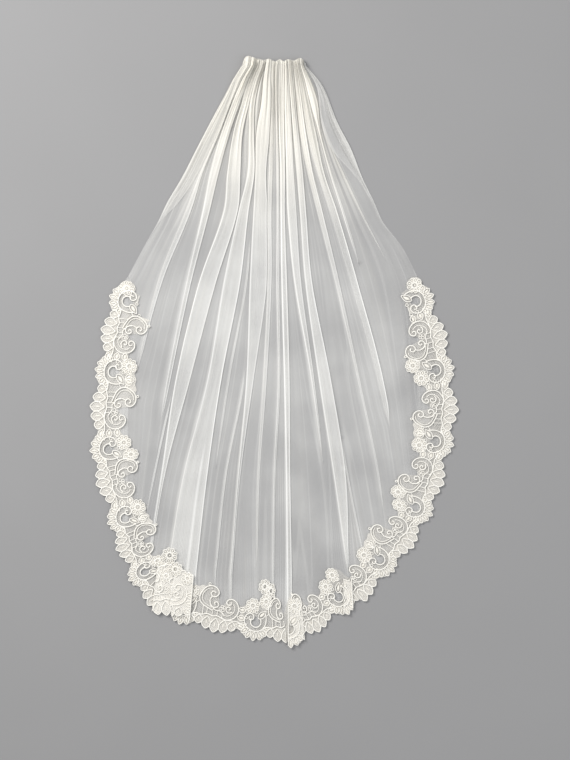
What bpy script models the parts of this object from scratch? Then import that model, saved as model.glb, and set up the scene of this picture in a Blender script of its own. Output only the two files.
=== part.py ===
"""A bridal veil laid flat: one tier of tulle, gathered to a short heading and edged with scalloped lace.

The tulle panel lies on the surface with its flat underside at Z = 0. The gathers leave the heading side by
side, as high rounded lobes, and spread into low pleats that lie on the panel. The two raw side edges are
folded in over the panel, and a wide lace edging lies on its hem, with small lace folds on top of it where
the pleats reach the hem.

Tables are in millimetres. "Across" is measured to the right of the heading's middle and "drop" down from
the heading's top edge. +Y points from the hem to the heading and +Z up.
"""

import math

import bmesh
import bpy
from mathutils import Vector

MM = 0.001

# Layers, from the surface up
WALL = 1.2
LACE_WALL = 1.5
GAP = 0.3
FIRST_LAYER = WALL + GAP
SECOND_LAYER = FIRST_LAYER + LACE_WALL + GAP
THIRD_LAYER = SECOND_LAYER + WALL + GAP

# The gathered heading and the height that its gathers keep below it
HEADING_DEPTH = 14.0
HEADING_HEIGHT = 13.0
GATHER_HEIGHT = 10.0
GATHER_REACH = 300.0
STRIP_GAP = 0.6
LACE_CLEARANCE = 4.0
LACE_REACH = 35.0

# Lace edging: it is widest at each open eye of its pattern and narrowest halfway between two eyes
LACE_WIDTH = 54.0
LACE_REPEAT = 112.0
SCALLOP_DEPTH = 11.0
SCALLOP_POWER = 0.6
INNER_WAVE = 13.0
LACE_END_TAPER = 40.0
LACE_END_SHARE = 0.45
HEM_INSET = 3.0
STATIONS_PER_REPEAT = 8
BAND_COLUMNS = 4
EYE_COLUMN = 2
OUTLINE_STEPS = 400

# Side edges of the tulle above the lace: drop, left edge, right edge, inner edge of each folded-in band
SIDE_EDGES = (
    # drop, left, right, left_inner, right_inner
    (14.3, -55.0, 51.0, -49.0, 46.0),
    (47.0, -69.0, 76.0, -63.0, 66.0),
    (101.0, -98.0, 98.0, -80.0, 73.0),
    (143.0, -120.0, 120.0, -100.0, 89.0),
    (188.0, -143.0, 137.0, -122.0, 128.0),
    (225.0, -165.0, 155.0, -147.0, 151.0),
    (257.0, -180.0, 169.0, -177.0, 166.0),
)
LOWER_EDGES = (
    # drop, left, right
    (296.0, -202.0, 199.0),
    (341.0, -225.0, 221.0),
)
SIDE_FOLD_END = 250.0
SIDE_STATIONS = 12

# Middle line of the scalloped hem, from the lace's left end round the bottom to its right end
HEM_PATH = (
    # across, drop
    (-238.0, 343.0),
    (-246.0, 362.0),
    (-262.0, 424.0),
    (-272.0, 490.0),
    (-280.0, 560.0),
    (-277.0, 630.0),
    (-260.0, 695.0),
    (-240.0, 760.0),
    (-212.0, 822.0),
    (-165.0, 866.0),
    (-105.0, 883.0),
    (-45.0, 897.0),
    (15.0, 903.0),
    (62.0, 889.0),
    (105.0, 862.0),
    (150.0, 830.0),
    (190.0, 784.0),
    (228.0, 733.0),
    (254.0, 672.0),
    (272.0, 605.0),
    (280.0, 540.0),
    (272.0, 475.0),
    (258.0, 415.0),
    (238.0, 362.0),
    (231.0, 343.0),
)
# Run of each open eye along the hem line: the pattern closes up where the hem bends round at the bottom
EYE_RUNS = (32.0, 147.0, 273.0, 388.0, 480.0, 582.0, 697.0, 771.0, 853.0, 947.0, 1051.0, 1163.0, 1283.0, 1399.0)
# Where the edging is divided into stretches: the eyes, counted from 0, that each starts and ends half a
# repeat past, and None at the lace's two ends
LACE_STRETCHES = (
    ("lace_left_side", None, 2),
    ("lace_hem_left", 2, 6),
    ("lace_hem_right", 6, 10),
    ("lace_right_side", 10, None),
)

# Pleats, left to right: where the middle of each crosses the drops of PLEAT_DROPS, its widths and its foot
PLEAT_DROPS = (14.3, 120.0, 240.0, 350.0, 500.0, 650.0, 800.0)
PLEATS = (
    # name, across at each drop, width at 350, width at the foot, drop of the foot
    ("pleat_01", (-44.0, -78.0, -133.0, -177.0, -215.0, -250.0, -280.0), 8.0, 5.0, 355.0),
    ("pleat_02", (-35.0, -64.0, -102.0, -132.0, -163.0, -190.0, -215.0), 8.0, 5.0, 480.0),
    ("pleat_03", (-27.0, -51.0, -67.0, -103.0, -140.0, -177.0, -205.0), 28.0, 27.0, 680.0),
    ("pleat_04", (-19.0, -38.0, -48.0, -65.0, -93.0, -124.0, -140.0), 26.0, 34.0, 752.0),
    ("pleat_05", (-10.0, -22.0, -19.0, -24.0, -37.0, -54.0, -66.0), 26.0, 8.0, 790.0),
    ("pleat_06", (-3.0, -9.0, -7.0, -7.0, -14.0, -24.0, -27.0), 7.0, 6.0, 740.0),
    ("pleat_07", (4.0, 1.0, 2.0, 5.0, 8.0, 1.0, -1.0), 5.0, 4.0, 792.0),
    ("pleat_08", (12.0, 13.0, 15.0, 21.0, 20.0, 22.0, 24.0), 17.0, 8.0, 818.0),
    ("pleat_09", (19.0, 25.0, 31.0, 38.0, 60.0, 78.0, 90.0), 8.0, 5.0, 590.0),
    ("pleat_10", (26.0, 35.0, 44.0, 54.0, 79.0, 102.0, 115.0), 11.0, 12.0, 752.0),
    ("pleat_11", (33.0, 47.0, 71.0, 98.0, 131.0, 162.0, 180.0), 7.0, 6.0, 680.0),
    ("pleat_12", (39.0, 59.0, 94.0, 129.0, 167.0, 190.0, 205.0), 10.0, 6.0, 560.0),
    ("pleat_13", (44.0, 68.0, 112.0, 150.0, 178.0, 202.0, 215.0), 8.0, 5.0, 330.0),
)
PLEAT_STATIONS = (14.6, 40.0, 80.0, 120.0, 180.0, 240.0, 300.0, 350.0, 420.0, 500.0, 575.0, 650.0, 725.0, 800.0)

# Above FAN_START the pleats fill the whole width between them, and by FAN_END each has its own width
FAN_START = 120.0
FAN_END = 350.0
GATHER_WIDTH = 60.0
FAN_WIDTH = 20.0

# Top of a strip's section: share of its width, share of its crown
STRIP_CROWN = ((0.0, 0.0), (0.22, 0.8), (0.5, 1.0), (0.78, 0.8), (1.0, 0.0))
THIN_CROWN = 0.25
GATHER_CROWN = 0.55

# Small lace folds on the edging, each a table of sections down the veil
LACE_FOLDS = (
    # name, height above the surface, sections of drop, left, right
    (
        "lace_fold_left_under",
        SECOND_LAYER,
        ((757.0, -196.0, -120.0), (800.0, -196.0, -124.0), (835.0, -190.0, -127.0), (862.0, -182.0, -129.0)),
    ),
    (
        "lace_fold_left_over",
        THIRD_LAYER,
        ((760.0, -166.0, -120.0), (800.0, -160.0, -124.0), (840.0, -160.0, -127.0), (860.0, -156.0, -130.0)),
    ),
    (
        "lace_fold_centre",
        SECOND_LAYER,
        ((822.0, 19.0, 31.0), (850.0, 20.0, 38.0), (885.0, 20.0, 44.0), (914.0, 20.0, 34.0)),
    ),
    (
        "lace_fold_right",
        SECOND_LAYER,
        ((776.0, 106.0, 118.0), (805.0, 108.0, 122.0), (838.0, 106.0, 122.0)),
    ),
)

# Humps of the gathered heading, left to right: across of each crest and how high it stands, as a share
HEADING_ENDS = (-49.0, 50.0)
HEADING_HUMPS = (
    # across, share of the height
    (-38.0, 1.0),
    (-24.0, 0.82),
    (-8.0, 0.9),
    (9.0, 0.86),
    (26.0, 0.92),
    (41.0, 0.85),
)
HUMP_NOTCH = 0.78
HEADING_END_SHARE = 0.55
HEADING_PROFILE = (
    # share of the depth, share of the height
    (0.0, 0.0),
    (0.0, 0.45),
    (0.14, 0.85),
    (0.46, 1.0),
    (0.79, 0.9),
    (1.0, 0.6),
    (1.0, 0.0),
)
HEADING_STATIONS = 33

TULLE_COLOUR = (0.82, 0.8, 0.74, 1.0)
LACE_COLOUR = (0.86, 0.82, 0.74, 1.0)


def slope_at(places, values, index):
    """Slope of a smooth curve at one of its own points."""
    low = max(index - 1, 0)
    high = min(index + 1, len(places) - 1)
    return (values[high] - values[low]) / (places[high] - places[low])


def smooth(places, values, at):
    """Value of the smooth curve through a short table, held level past its ends."""
    if at <= places[0]:
        return values[0]
    if at >= places[-1]:
        return values[-1]
    index = max(i for i, place in enumerate(places) if place <= at)
    span = places[index + 1] - places[index]
    t = (at - places[index]) / span
    start = slope_at(places, values, index) * span
    end = slope_at(places, values, index + 1) * span
    ahead = values[index + 1] - values[index]
    return values[index] + start * t + (3 * ahead - 2 * start - end) * t**2 + (start + end - 2 * ahead) * t**3


def ease(share):
    """Soft step from 0 to 1."""
    share = min(max(share, 0.0), 1.0)
    return share * share * (3 - 2 * share)


class HemLine:
    """The middle line of the scalloped hem, measured by its run from the lace's left end."""

    def __init__(self):
        self.runs = [0.0]
        for (x0, d0), (x1, d1) in zip(HEM_PATH, HEM_PATH[1:]):
            self.runs.append(self.runs[-1] + math.hypot(x1 - x0, d1 - d0))
        self.length = self.runs[-1]

    def point(self, run):
        """Across and drop at a run."""
        across = smooth(self.runs, [row[0] for row in HEM_PATH], run)
        drop = smooth(self.runs, [row[1] for row in HEM_PATH], run)
        return across, drop

    def offset(self, run, outwards):
        """Across and drop of a point that lies outwards from the line, or inwards where that is negative."""
        step = 1.0
        x0, d0 = self.point(max(run - step, 0.0))
        x1, d1 = self.point(min(run + step, self.length))
        reach = math.hypot(x1 - x0, d1 - d0)
        across, drop = self.point(run)
        return across - outwards * (d1 - d0) / reach, drop + outwards * (x1 - x0) / reach

    def phase(self, run):
        """Place in the lace's pattern: a whole number at each eye, counted from 0."""
        if run < EYE_RUNS[0]:
            return (run - EYE_RUNS[0]) / LACE_REPEAT
        if run >= EYE_RUNS[-1]:
            return len(EYE_RUNS) - 1 + (run - EYE_RUNS[-1]) / LACE_REPEAT
        eye = max(i for i, place in enumerate(EYE_RUNS) if place <= run)
        return eye + (run - EYE_RUNS[eye]) / (EYE_RUNS[eye + 1] - EYE_RUNS[eye])

    def run_at(self, phase):
        """Run of a place in the lace's pattern, the other way round from phase()."""
        eye = min(max(math.floor(phase), 0), len(EYE_RUNS) - 2)
        run = EYE_RUNS[eye] + (phase - eye) * (EYE_RUNS[eye + 1] - EYE_RUNS[eye])
        return min(max(run, 0.0), self.length)

    def scallop(self, run):
        """How far the scalloped edge stands out from the line: a lobe at each eye and one between two eyes."""
        lobe = abs(math.cos(2 * math.pi * self.phase(run))) ** SCALLOP_POWER
        return SCALLOP_DEPTH * (lobe - 0.5)

    def lace_inner(self, run):
        """How far in the lace reaches, less at its two ends."""
        near_end = min(run, self.length - run) / LACE_END_TAPER
        share = LACE_END_SHARE + (1 - LACE_END_SHARE) * ease(near_end)
        return share * (LACE_WIDTH + INNER_WAVE * math.cos(2 * math.pi * self.phase(run)))


HEM = HemLine()


def side_edge(column, drop):
    """Across of a side edge, or of a folded band's inner edge, at a drop."""
    rows = SIDE_EDGES if column > 2 else SIDE_EDGES + LOWER_EDGES
    return smooth([row[0] for row in rows], [row[column] for row in rows], drop)


def panel_outline():
    """Outline of the tulle panel: down the left edge, round the scalloped hem and up the right edge."""
    top, bottom = SIDE_EDGES[0][0], LOWER_EDGES[-1][0]
    drops = [top + (bottom - top) * i / SIDE_STATIONS for i in range(SIDE_STATIONS + 1)]
    steps = round(HEM.length / LACE_REPEAT * STATIONS_PER_REPEAT)
    runs = [HEM.length * i / steps for i in range(steps + 1)]
    left = [(side_edge(1, drop), drop) for drop in drops]
    hem = [HEM.offset(run, HEM.scallop(run) - HEM_INSET) for run in runs]
    right = [(side_edge(2, drop), drop) for drop in reversed(drops)]
    return left + hem + right


def lace_outline():
    """The scalloped outer edge of the lace."""
    runs = [HEM.length * i / OUTLINE_STEPS for i in range(OUTLINE_STEPS + 1)]
    return [HEM.offset(run, HEM.scallop(run)) for run in runs]


def middle_of_veil():
    """Across and drop of the middle of the veil's box."""
    across = [point[0] for point in lace_outline()]
    lowest = max(sections[-1][0] for name, height, sections in LACE_FOLDS)
    drop = max([lowest] + [point[1] for point in lace_outline()])
    return (min(across) + max(across)) / 2, drop / 2


MIDDLE = middle_of_veil()


def lace_inner_points(first_share, last_share):
    """Points of the lace's inner edge over a share of its run."""
    shares = [first_share + (last_share - first_share) * i / OUTLINE_STEPS for i in range(OUTLINE_STEPS + 1)]
    runs = [HEM.length * share for share in shares]
    return [HEM.offset(run, -HEM.lace_inner(run)) for run in runs]


LEFT_INNER = lace_inner_points(0.0, 0.4)
BOTTOM_INNER = lace_inner_points(0.25, 0.75)
RIGHT_INNER = lace_inner_points(0.7, 1.0)


def clear_of_lace(left, right, drop):
    """Narrows a strip's section so that it stays inside the lace at a drop."""
    left_lace = [x for x, d in LEFT_INNER if abs(d - drop) < LACE_REACH]
    right_lace = [x for x, d in RIGHT_INNER if abs(d - drop) < LACE_REACH]
    left = max([left] + [x + LACE_CLEARANCE for x in left_lace])
    right = min([right] + [x - LACE_CLEARANCE for x in right_lace])
    return left, right


def foot_above_lace(foot, index):
    """Drop of a pleat's foot, short of the lace below it."""
    reach = PLEATS[index][3] / 2 + LACE_CLEARANCE
    middle = pleat_middle(index, foot)
    below = [d for x, d in BOTTOM_INNER if abs(x - middle) < reach]
    return min([foot] + [d - LACE_CLEARANCE for d in below])


def place(across, drop, height):
    """World position, in metres, of a point of the veil's own tables."""
    return Vector(((across - MIDDLE[0]) * MM, (MIDDLE[1] - drop) * MM, height * MM))


def make_material(name, colour, roughness):
    """Plain cloth material."""
    material = bpy.data.materials.new(name)
    material.use_nodes = True
    shader = material.node_tree.nodes["Principled BSDF"]
    shader.inputs["Base Color"].default_value = colour
    shader.inputs["Roughness"].default_value = roughness
    shader.inputs["Metallic"].default_value = 0.0
    material.diffuse_color = colour
    return material


def add_object(name, shape, material):
    """Closes a bmesh into a named object with its normals outwards."""
    bmesh.ops.recalc_face_normals(shape, faces=shape.faces[:])
    mesh = bpy.data.meshes.new(name)
    shape.to_mesh(mesh)
    shape.free()
    mesh.materials.append(material)
    part = bpy.data.objects.new(name, mesh)
    bpy.context.scene.collection.objects.link(part)
    return part


def nearest(ring, spot):
    """Index of the ring's point that is nearest a spot."""
    return min(range(len(ring)), key=lambda i: (ring[i] - spot).length_squared)


def loft(name, rings, material):
    """Closed body through a run of rings: the first ring's face is extruded from ring to ring."""
    shape = bmesh.new()
    cap = shape.faces.new([shape.verts.new(point) for point in rings[0]])
    face = cap
    for before, after in zip(rings, rings[1:]):
        grown = bmesh.ops.extrude_face_region(shape, geom=[face])["geom"]
        if face is not cap:
            shape.faces.remove(face)
        face = next(item for item in grown if isinstance(item, bmesh.types.BMFace))
        for corner in face.verts:
            corner.co = after[nearest(before, corner.co)]
    return add_object(name, shape, material)


def strip_ring(drop, left, right, floor, height, crown):
    """Section of a cloth strip: flat below, upright at its sides, and crowned by a share of its height."""
    shoulder = height * (1 - crown)
    ring = [place(left, drop, floor)]
    for share, rise in STRIP_CROWN:
        ring.append(place(left + (right - left) * share, drop, floor + shoulder + rise * (height - shoulder)))
    return ring + [place(right, drop, floor)]


def gather_height(drop):
    """Height of the gathers at a drop: tall at the heading, one layer of cloth past their reach."""
    share = ease(1 - (drop - HEADING_DEPTH) / GATHER_REACH)
    return WALL + (GATHER_HEIGHT - WALL) * share**2


def tulle_panel(material):
    """The tulle that lies on the surface, flat below, out to just inside the lace's edge."""
    outline = panel_outline()
    rings = [[place(across, drop, height) for across, drop in outline] for height in (0.0, WALL)]
    return loft("tulle_panel", rings, material)


def heading_height(across):
    """Height of the heading at a place along it, humped between its notches."""
    crest, share = min(HEADING_HUMPS, key=lambda hump: abs(hump[0] - across))
    pitch = (HEADING_HUMPS[-1][0] - HEADING_HUMPS[0][0]) / (len(HEADING_HUMPS) - 1)
    fall = min(abs(across - crest) / (pitch / 2), 1.0)
    return HEADING_HEIGHT * share * (HUMP_NOTCH + (1 - HUMP_NOTCH) * math.cos(fall * math.pi / 2))


def gather_heading(material):
    """The stitched heading: a short roll of gathered tulle with a flat underside."""
    start, end = HEADING_ENDS
    rings = []
    for i in range(HEADING_STATIONS):
        across = start + (end - start) * i / (HEADING_STATIONS - 1)
        edge = min(across - start, end - across) / HEADING_HEIGHT
        round_end = math.sin(min(edge, 1.0) * math.pi / 2)
        height = heading_height(across) * (HEADING_END_SHARE + (1 - HEADING_END_SHARE) * round_end)
        back = (1 - height / HEADING_HEIGHT) / 2
        ring = []
        for depth, rise in HEADING_PROFILE:
            ring.append(place(across, HEADING_DEPTH * (back + (1 - back) * depth), height * rise))
        rings.append(ring)
    return loft("gather_heading", rings, material)


def side_fold(name, outer_column, inner_column, material):
    """A raw side edge folded in over the panel, narrowing to nothing lower down."""
    rings = []
    inward = 1.0 if outer_column == 1 else -1.0
    for drop in [drop for drop in PLEAT_STATIONS if drop < SIDE_FOLD_END] + [SIDE_FOLD_END]:
        outer = side_edge(outer_column, drop) + inward
        inner = side_edge(inner_column, drop)
        left, right = sorted((outer, inner))
        rings.append(strip_ring(drop, left, right, FIRST_LAYER, WALL, THIN_CROWN))
    return loft(name, rings, material)


def pleat_middle(index, drop):
    """Across of a pleat's middle, or of the limit beside the first and last pleats."""
    if index < 0:
        inner = side_edge(3, drop) if drop < SIDE_FOLD_END else side_edge(1, drop)
        return 2 * (inner + STRIP_GAP) - pleat_middle(0, drop)
    if index >= len(PLEATS):
        inner = side_edge(4, drop) if drop < SIDE_FOLD_END else side_edge(2, drop)
        return 2 * (inner - STRIP_GAP) - pleat_middle(len(PLEATS) - 1, drop)
    return smooth(PLEAT_DROPS, PLEATS[index][1], drop)


def pleat_width(index, drop):
    """Width that a pleat would have with no neighbours: wide in the gathers, then as its table says."""
    fan_width, foot_width, foot = PLEATS[index][2:]
    if drop <= FAN_START:
        return GATHER_WIDTH
    if drop <= FAN_END:
        share = ease((drop - FAN_START) / (FAN_END - FAN_START))
        return FAN_WIDTH + (fan_width - FAN_WIDTH) * share
    share = (drop - FAN_END) / max(foot - FAN_END, 1.0)
    return fan_width + (foot_width - fan_width) * ease(share)


def pleat(index, material):
    """One pleat: a lobe of the gathers at the heading that runs out flat on the panel."""
    name = PLEATS[index][0]
    foot = foot_above_lace(PLEATS[index][4], index)
    drops = [drop for drop in PLEAT_STATIONS if drop < foot - 10.0] + [foot]
    rings = []
    for drop in drops:
        middle = pleat_middle(index, drop)
        left_limit = (pleat_middle(index - 1, drop) + middle + STRIP_GAP) / 2
        right_limit = (pleat_middle(index + 1, drop) + middle - STRIP_GAP) / 2
        half = pleat_width(index, drop) / 2
        left = max(middle - half, left_limit)
        right = min(middle + half, right_limit)
        left, right = clear_of_lace(left, right, drop)
        crown = THIN_CROWN + (GATHER_CROWN - THIN_CROWN) * ease(1 - drop / GATHER_REACH)
        rings.append(strip_ring(drop, left, right, FIRST_LAYER, gather_height(drop), crown))
    return loft(name, rings, material)


def stretch_phases(first_eye, last_eye):
    """Places in the pattern of a stretch's stations, with each eye in the middle of one segment."""
    step = 1 / STATIONS_PER_REPEAT
    first = HEM.phase(0.0) if first_eye is None else first_eye + 0.5 + step / 2
    last = HEM.phase(HEM.length) if last_eye is None else last_eye + 0.5 + step / 2
    inner = [step * (k + 0.5) for k in range(-STATIONS_PER_REPEAT, (len(EYE_RUNS) + 1) * STATIONS_PER_REPEAT)]
    return [first] + [phase for phase in inner if first + step / 3 < phase < last - step / 3] + [last]


def lace_stretch(name, first_eye, last_eye, material):
    """A stretch of the edging: a scalloped band with an open eye in each repeat of its pattern."""
    phases = stretch_phases(first_eye, last_eye)
    segments = len(phases) - 1
    shape = bmesh.new()
    bmesh.ops.create_grid(shape, x_segments=segments, y_segments=BAND_COLUMNS, size=0.5)
    eyes = []
    for face in shape.faces:
        middle = face.calc_center_median()
        station = math.floor((middle.x + 0.5) * segments)
        column = math.floor((middle.y + 0.5) * BAND_COLUMNS)
        pattern = (phases[station] + phases[station + 1]) / 2
        at_eye = abs(pattern - round(pattern)) < 0.01 and 0 < station < segments - 1
        if at_eye and column == EYE_COLUMN:
            eyes.append(face)
    bmesh.ops.delete(shape, geom=eyes, context="FACES")
    low = 0.0 if first_eye is None else GAP / 2
    high = 0.0 if last_eye is None else GAP / 2
    runs = [HEM.run_at(phase) for phase in phases]
    runs[0] += low
    runs[-1] -= high
    for vert in shape.verts:
        run = runs[round((vert.co.x + 0.5) * segments)]
        outer = HEM.scallop(run)
        inner = -HEM.lace_inner(run)
        across, drop = HEM.offset(run, inner + (outer - inner) * (vert.co.y + 0.5))
        vert.co = place(across, drop, FIRST_LAYER)
    grown = bmesh.ops.extrude_face_region(shape, geom=shape.faces[:])["geom"]
    raised = [item for item in grown if isinstance(item, bmesh.types.BMVert)]
    bmesh.ops.translate(shape, verts=raised, vec=Vector((0.0, 0.0, LACE_WALL * MM)))
    return add_object(name, shape, material)


def lace_fold(name, floor, sections, material):
    """A fold of the lace hem that lies on the edging."""
    rings = [strip_ring(drop, left, right, floor, WALL, THIN_CROWN) for drop, left, right in sections]
    return loft(name, rings, material)


def build_veil():
    """Makes every piece of the veil."""
    for item in list(bpy.data.objects):
        bpy.data.objects.remove(item, do_unlink=True)
    tulle = make_material("tulle", TULLE_COLOUR, 0.7)
    lace = make_material("lace", LACE_COLOUR, 0.75)
    tulle_panel(tulle)
    gather_heading(tulle)
    side_fold("side_fold_left", 1, 3, tulle)
    side_fold("side_fold_right", 2, 4, tulle)
    for index in range(len(PLEATS)):
        pleat(index, tulle)
    for name, first_eye, last_eye in LACE_STRETCHES:
        lace_stretch(name, first_eye, last_eye, lace)
    for name, floor, sections in LACE_FOLDS:
        lace_fold(name, floor, sections, lace)


build_veil()
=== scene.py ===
"""The looks of a bridal veil laid flat: one sheet of gathered tulle with a corded lace edging.

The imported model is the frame. A sheet of tulle, folded to and fro into pleats, stands for the panel, its pleats
and its folded side edges. A stitched roll stands for the heading. Net, cords and padded petals stand for each
stretch of the lace.

Tables are in millimetres. "Across" is measured to the right of the heading's middle and "drop" down from the
heading's top edge. In the lace's pattern, "along" is measured along the hem, with one repeat from eye to eye,
and "inset" inwards from the outer edge.
"""

import logging
import math
from dataclasses import dataclass, field
from enum import Enum

import bmesh
import bpy
import numpy as np
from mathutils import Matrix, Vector


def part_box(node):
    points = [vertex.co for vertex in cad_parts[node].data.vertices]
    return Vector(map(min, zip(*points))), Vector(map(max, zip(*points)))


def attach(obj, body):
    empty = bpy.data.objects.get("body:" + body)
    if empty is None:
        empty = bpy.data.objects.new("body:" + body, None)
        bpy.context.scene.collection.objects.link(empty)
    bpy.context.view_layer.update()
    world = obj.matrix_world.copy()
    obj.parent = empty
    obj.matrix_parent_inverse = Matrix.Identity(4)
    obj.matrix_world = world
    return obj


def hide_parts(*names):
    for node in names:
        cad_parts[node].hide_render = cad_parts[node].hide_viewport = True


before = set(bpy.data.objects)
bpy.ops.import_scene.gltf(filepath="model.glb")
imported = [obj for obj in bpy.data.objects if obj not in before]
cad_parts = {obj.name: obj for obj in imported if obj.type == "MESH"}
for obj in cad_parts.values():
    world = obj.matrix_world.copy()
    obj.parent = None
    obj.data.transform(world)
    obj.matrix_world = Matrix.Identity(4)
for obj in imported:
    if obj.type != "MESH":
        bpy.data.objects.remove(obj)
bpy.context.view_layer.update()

MM = 0.001
LOG = logging.getLogger("bridal_veil")

# Raw side edges of the tulle, and the inner edges of the bands of it that are folded in
SIDE_EDGES = (
    # drop, left, right, inner edge of the left band, of the right band
    (14.3, -55, 51, -49, 46),
    (47, -69, 76, -63, 66),
    (101, -98, 98, -80, 73),
    (143, -120, 120, -100, 89),
    (188, -143, 137, -122, 128),
    (225, -165, 155, -147, 151),
    (257, -180, 169, -177, 166),
    (296, -202, 199, -202, 199),
    (341, -226, 222, -226, 222),
)

# Middle line of the scalloped hem, from the lace's left end round the bottom to its right end
HEM_PATH = (
    # across, drop
    (-238, 343), (-246, 362), (-262, 424), (-272, 490), (-280, 560), (-277, 630),
    (-260, 695), (-240, 760), (-212, 822), (-165, 866), (-105, 883), (-45, 897),
    (15, 903), (62, 889), (105, 862), (150, 830), (190, 784), (228, 733),
    (254, 672), (272, 605), (280, 540), (272, 475), (258, 415), (238, 362),
    (231, 343),
)
# Run of each open eye along the hem line: the pattern closes up where the hem bends round at the bottom
EYE_RUNS = (32, 147, 273, 388, 480, 582, 697, 755, 853, 947, 1051, 1163, 1283, 1399)
# Parts of the pattern that a fold at the hem hides: along where each starts and ends, and the hem's run there
HIDDEN_PARTS = (
    (723.5, 801, 748.5, 770),
    (922, 942, 876.5, 881),
)
LAST_EYE = len(EYE_RUNS) - 1
LACE_REPEAT = 112
OUTER_REACH = 5.5
HEM_INSET = 7

# Pleats, left to right, each with the across of its middle and its width at the drops of PLEAT_DROPS
PLEAT_DROPS = (14.3, 70, 120, 180, 240, 350, 500, 650, 800)
PLEATS = (
    # across at each drop, width at each drop, drop of the foot, crease left, crease right
    ((-44, -66.5, -86, -112, -133, -177, -215, -250, -280),
     (8, 2.5, 2.5, 4, 9, 8, 3, 1, 1), 480, 0.3, 0.5),
    ((-35, -57.6, -75.3, -91.8, -105, -132, -163, -190, -215),
     (7, 11, 13, 13, 11, 8, 6, 1, 1), 560, 0.55, 0.7),
    ((-27, -43.5, -56, -62, -67, -103, -141, -172, -196),
     (9, 12, 15, 20.5, 22, 27, 23, 6, 3), 775, 0.8, 0.75),
    ((-19, -33, -34.8, -35.5, -47, -65, -92, -122, -143),
     (6, 8, 8, 11, 16, 26, 22, 38, 46), 850, 0.6, 0.95),
    ((-10, -12, -17, -20.5, -21, -24, -37, -54, -66),
     (10, 15, 21, 17, 22, 27, 12, 4, 3), 840, 0.75, 0.6),
    ((-3, -2, -3.5, -5, -7, -7, -14, -24, -27),
     (5, 4, 5, 6, 7, 7, 6, 4, 2), 780, 0.4, 0.35),
    ((4, 4, 5, 6, 6.5, 6, 8, 1, -1),
     (6, 4, 3.5, 4, 4, 4.5, 4, 3, 3), 830, 0.6, 0.35),
    ((12, 11, 12, 13.5, 13.5, 16, 20, 22, 24),
     (9, 9, 9, 8, 7, 9, 9, 7, 8), 890, 0.95, 0.8),
    ((19, 20.5, 22.5, 25, 28, 37, 60, 78, 90),
     (6, 9, 10.5, 12, 14, 11, 5, 1, 1), 620, 0.85, 0.5),
    ((26, 30, 34, 40, 45, 54, 79, 102, 115),
     (8, 8, 9, 10, 10, 11, 19, 19, 3), 800, 0.75, 0.85),
    ((33, 38.5, 45, 56, 71, 98, 131, 162, 180),
     (6, 9, 10, 9, 9, 7, 4, 3, 1), 700, 0.45, 0.4),
    ((39, 49, 58.5, 72.5, 92, 124, 164.5, 191, 205),
     (6, 11, 14, 11, 12, 12, 10, 5, 2), 565, 0.25, 1),
    ((44, 61.5, 71.5, 87.8, 107, 140, 178, 202, 215),
     (5, 12, 3, 3, 4, 3, 2, 1, 1), 310, 0.75, 0.3),
)
# Thin folds that lie in the plain cloth to the right of a pleat
THIN_FOLDS = (
    # pleat to its left, across at each drop, width, drop where it starts, drop of its foot, crease
    (1, (-40, -50, -60, -75, -90, -118, -153, -186, -215), 3, 540, 690, 0.6),
    (3, (-14, -22, -27, -29, -35, -43, -70, -92, -110), 3, 300, 610, 0.5),
    (3, (-14, -20, -25, -27, -33, -39, -47, -75, -91), 3, 500, 810, 0.55),
    (9, (30, 35, 40, 48, 58, 76, 90, 114, 144), 3, 600, 780, 0.5),
    (12, (48, 65, 80, 106, 134, 186, 205, 220, 230), 4, 150, 290, 0.2),
)
# A second crease on top of the fourth pleat: which pleat, share of its width, drop where it starts, crease
TOP_CREASE = (3, 0.72, 580, 0.6)
PLEAT_GAP = 0.6
# The gathered heading rolls over along its back edge, which is humped where the gathers bunch up
HEADING_ENDS = (-49, 50)
HEADING_DEPTH = 13
HEADING_BACK = (
    # across, drop of the back edge
    (-49, 12.5), (-47.3, 7.6), (-45.4, 3.6), (-43, 1.1), (-38.5, 0.2), (-31, 2.6), (-23, 4.6),
    (-15, 6.6), (-8, 4.6), (2.2, 8.4), (9.3, 5.2), (15, 8.2), (21, 5.4), (31.5, 7), (38, 3.8),
    (43, 4.2), (46.5, 7.4), (50, 13.5),
)
# Stretches of the edging, cut between an eye's flowers and its scroll
LACE_STRETCHES = (
    # node, along of its start and end, how far its net reaches past them
    ("lace_left_side", -26, 2.56 * LACE_REPEAT, -7, 0),
    ("lace_hem_left", 2.56 * LACE_REPEAT, 6.56 * LACE_REPEAT, 0, 0),
    ("lace_hem_right", 6.56 * LACE_REPEAT, 10.56 * LACE_REPEAT, 0, 0),
    ("lace_right_side", 10.56 * LACE_REPEAT, LAST_EYE * LACE_REPEAT + 17, 0, 19),
)
# Flowers of their own, at the ends of the edging and above a repeat: along, inset, reach and petals of each
LONE_FLOWERS = {
    "lace_left_side": ((-20, 22, 12, 9),),
    "lace_hem_left": ((679, 85, 12, 9), (693, 80, 12, 7)),
    "lace_right_side": ((LAST_EYE * LACE_REPEAT + 23, 22, 12, 9),),
    "lace_fold_left_under": ((626.1, 91, 12.5, 9), (604, 73, 9.5, 9), (617, 60, 10.5, 9)),
    "lace_fold_left_over": ((53.5, 76.5, 11.5, 9), (75.5, 68, 10, 9)),
}
FLOWER_TURN = 10.0
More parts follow.
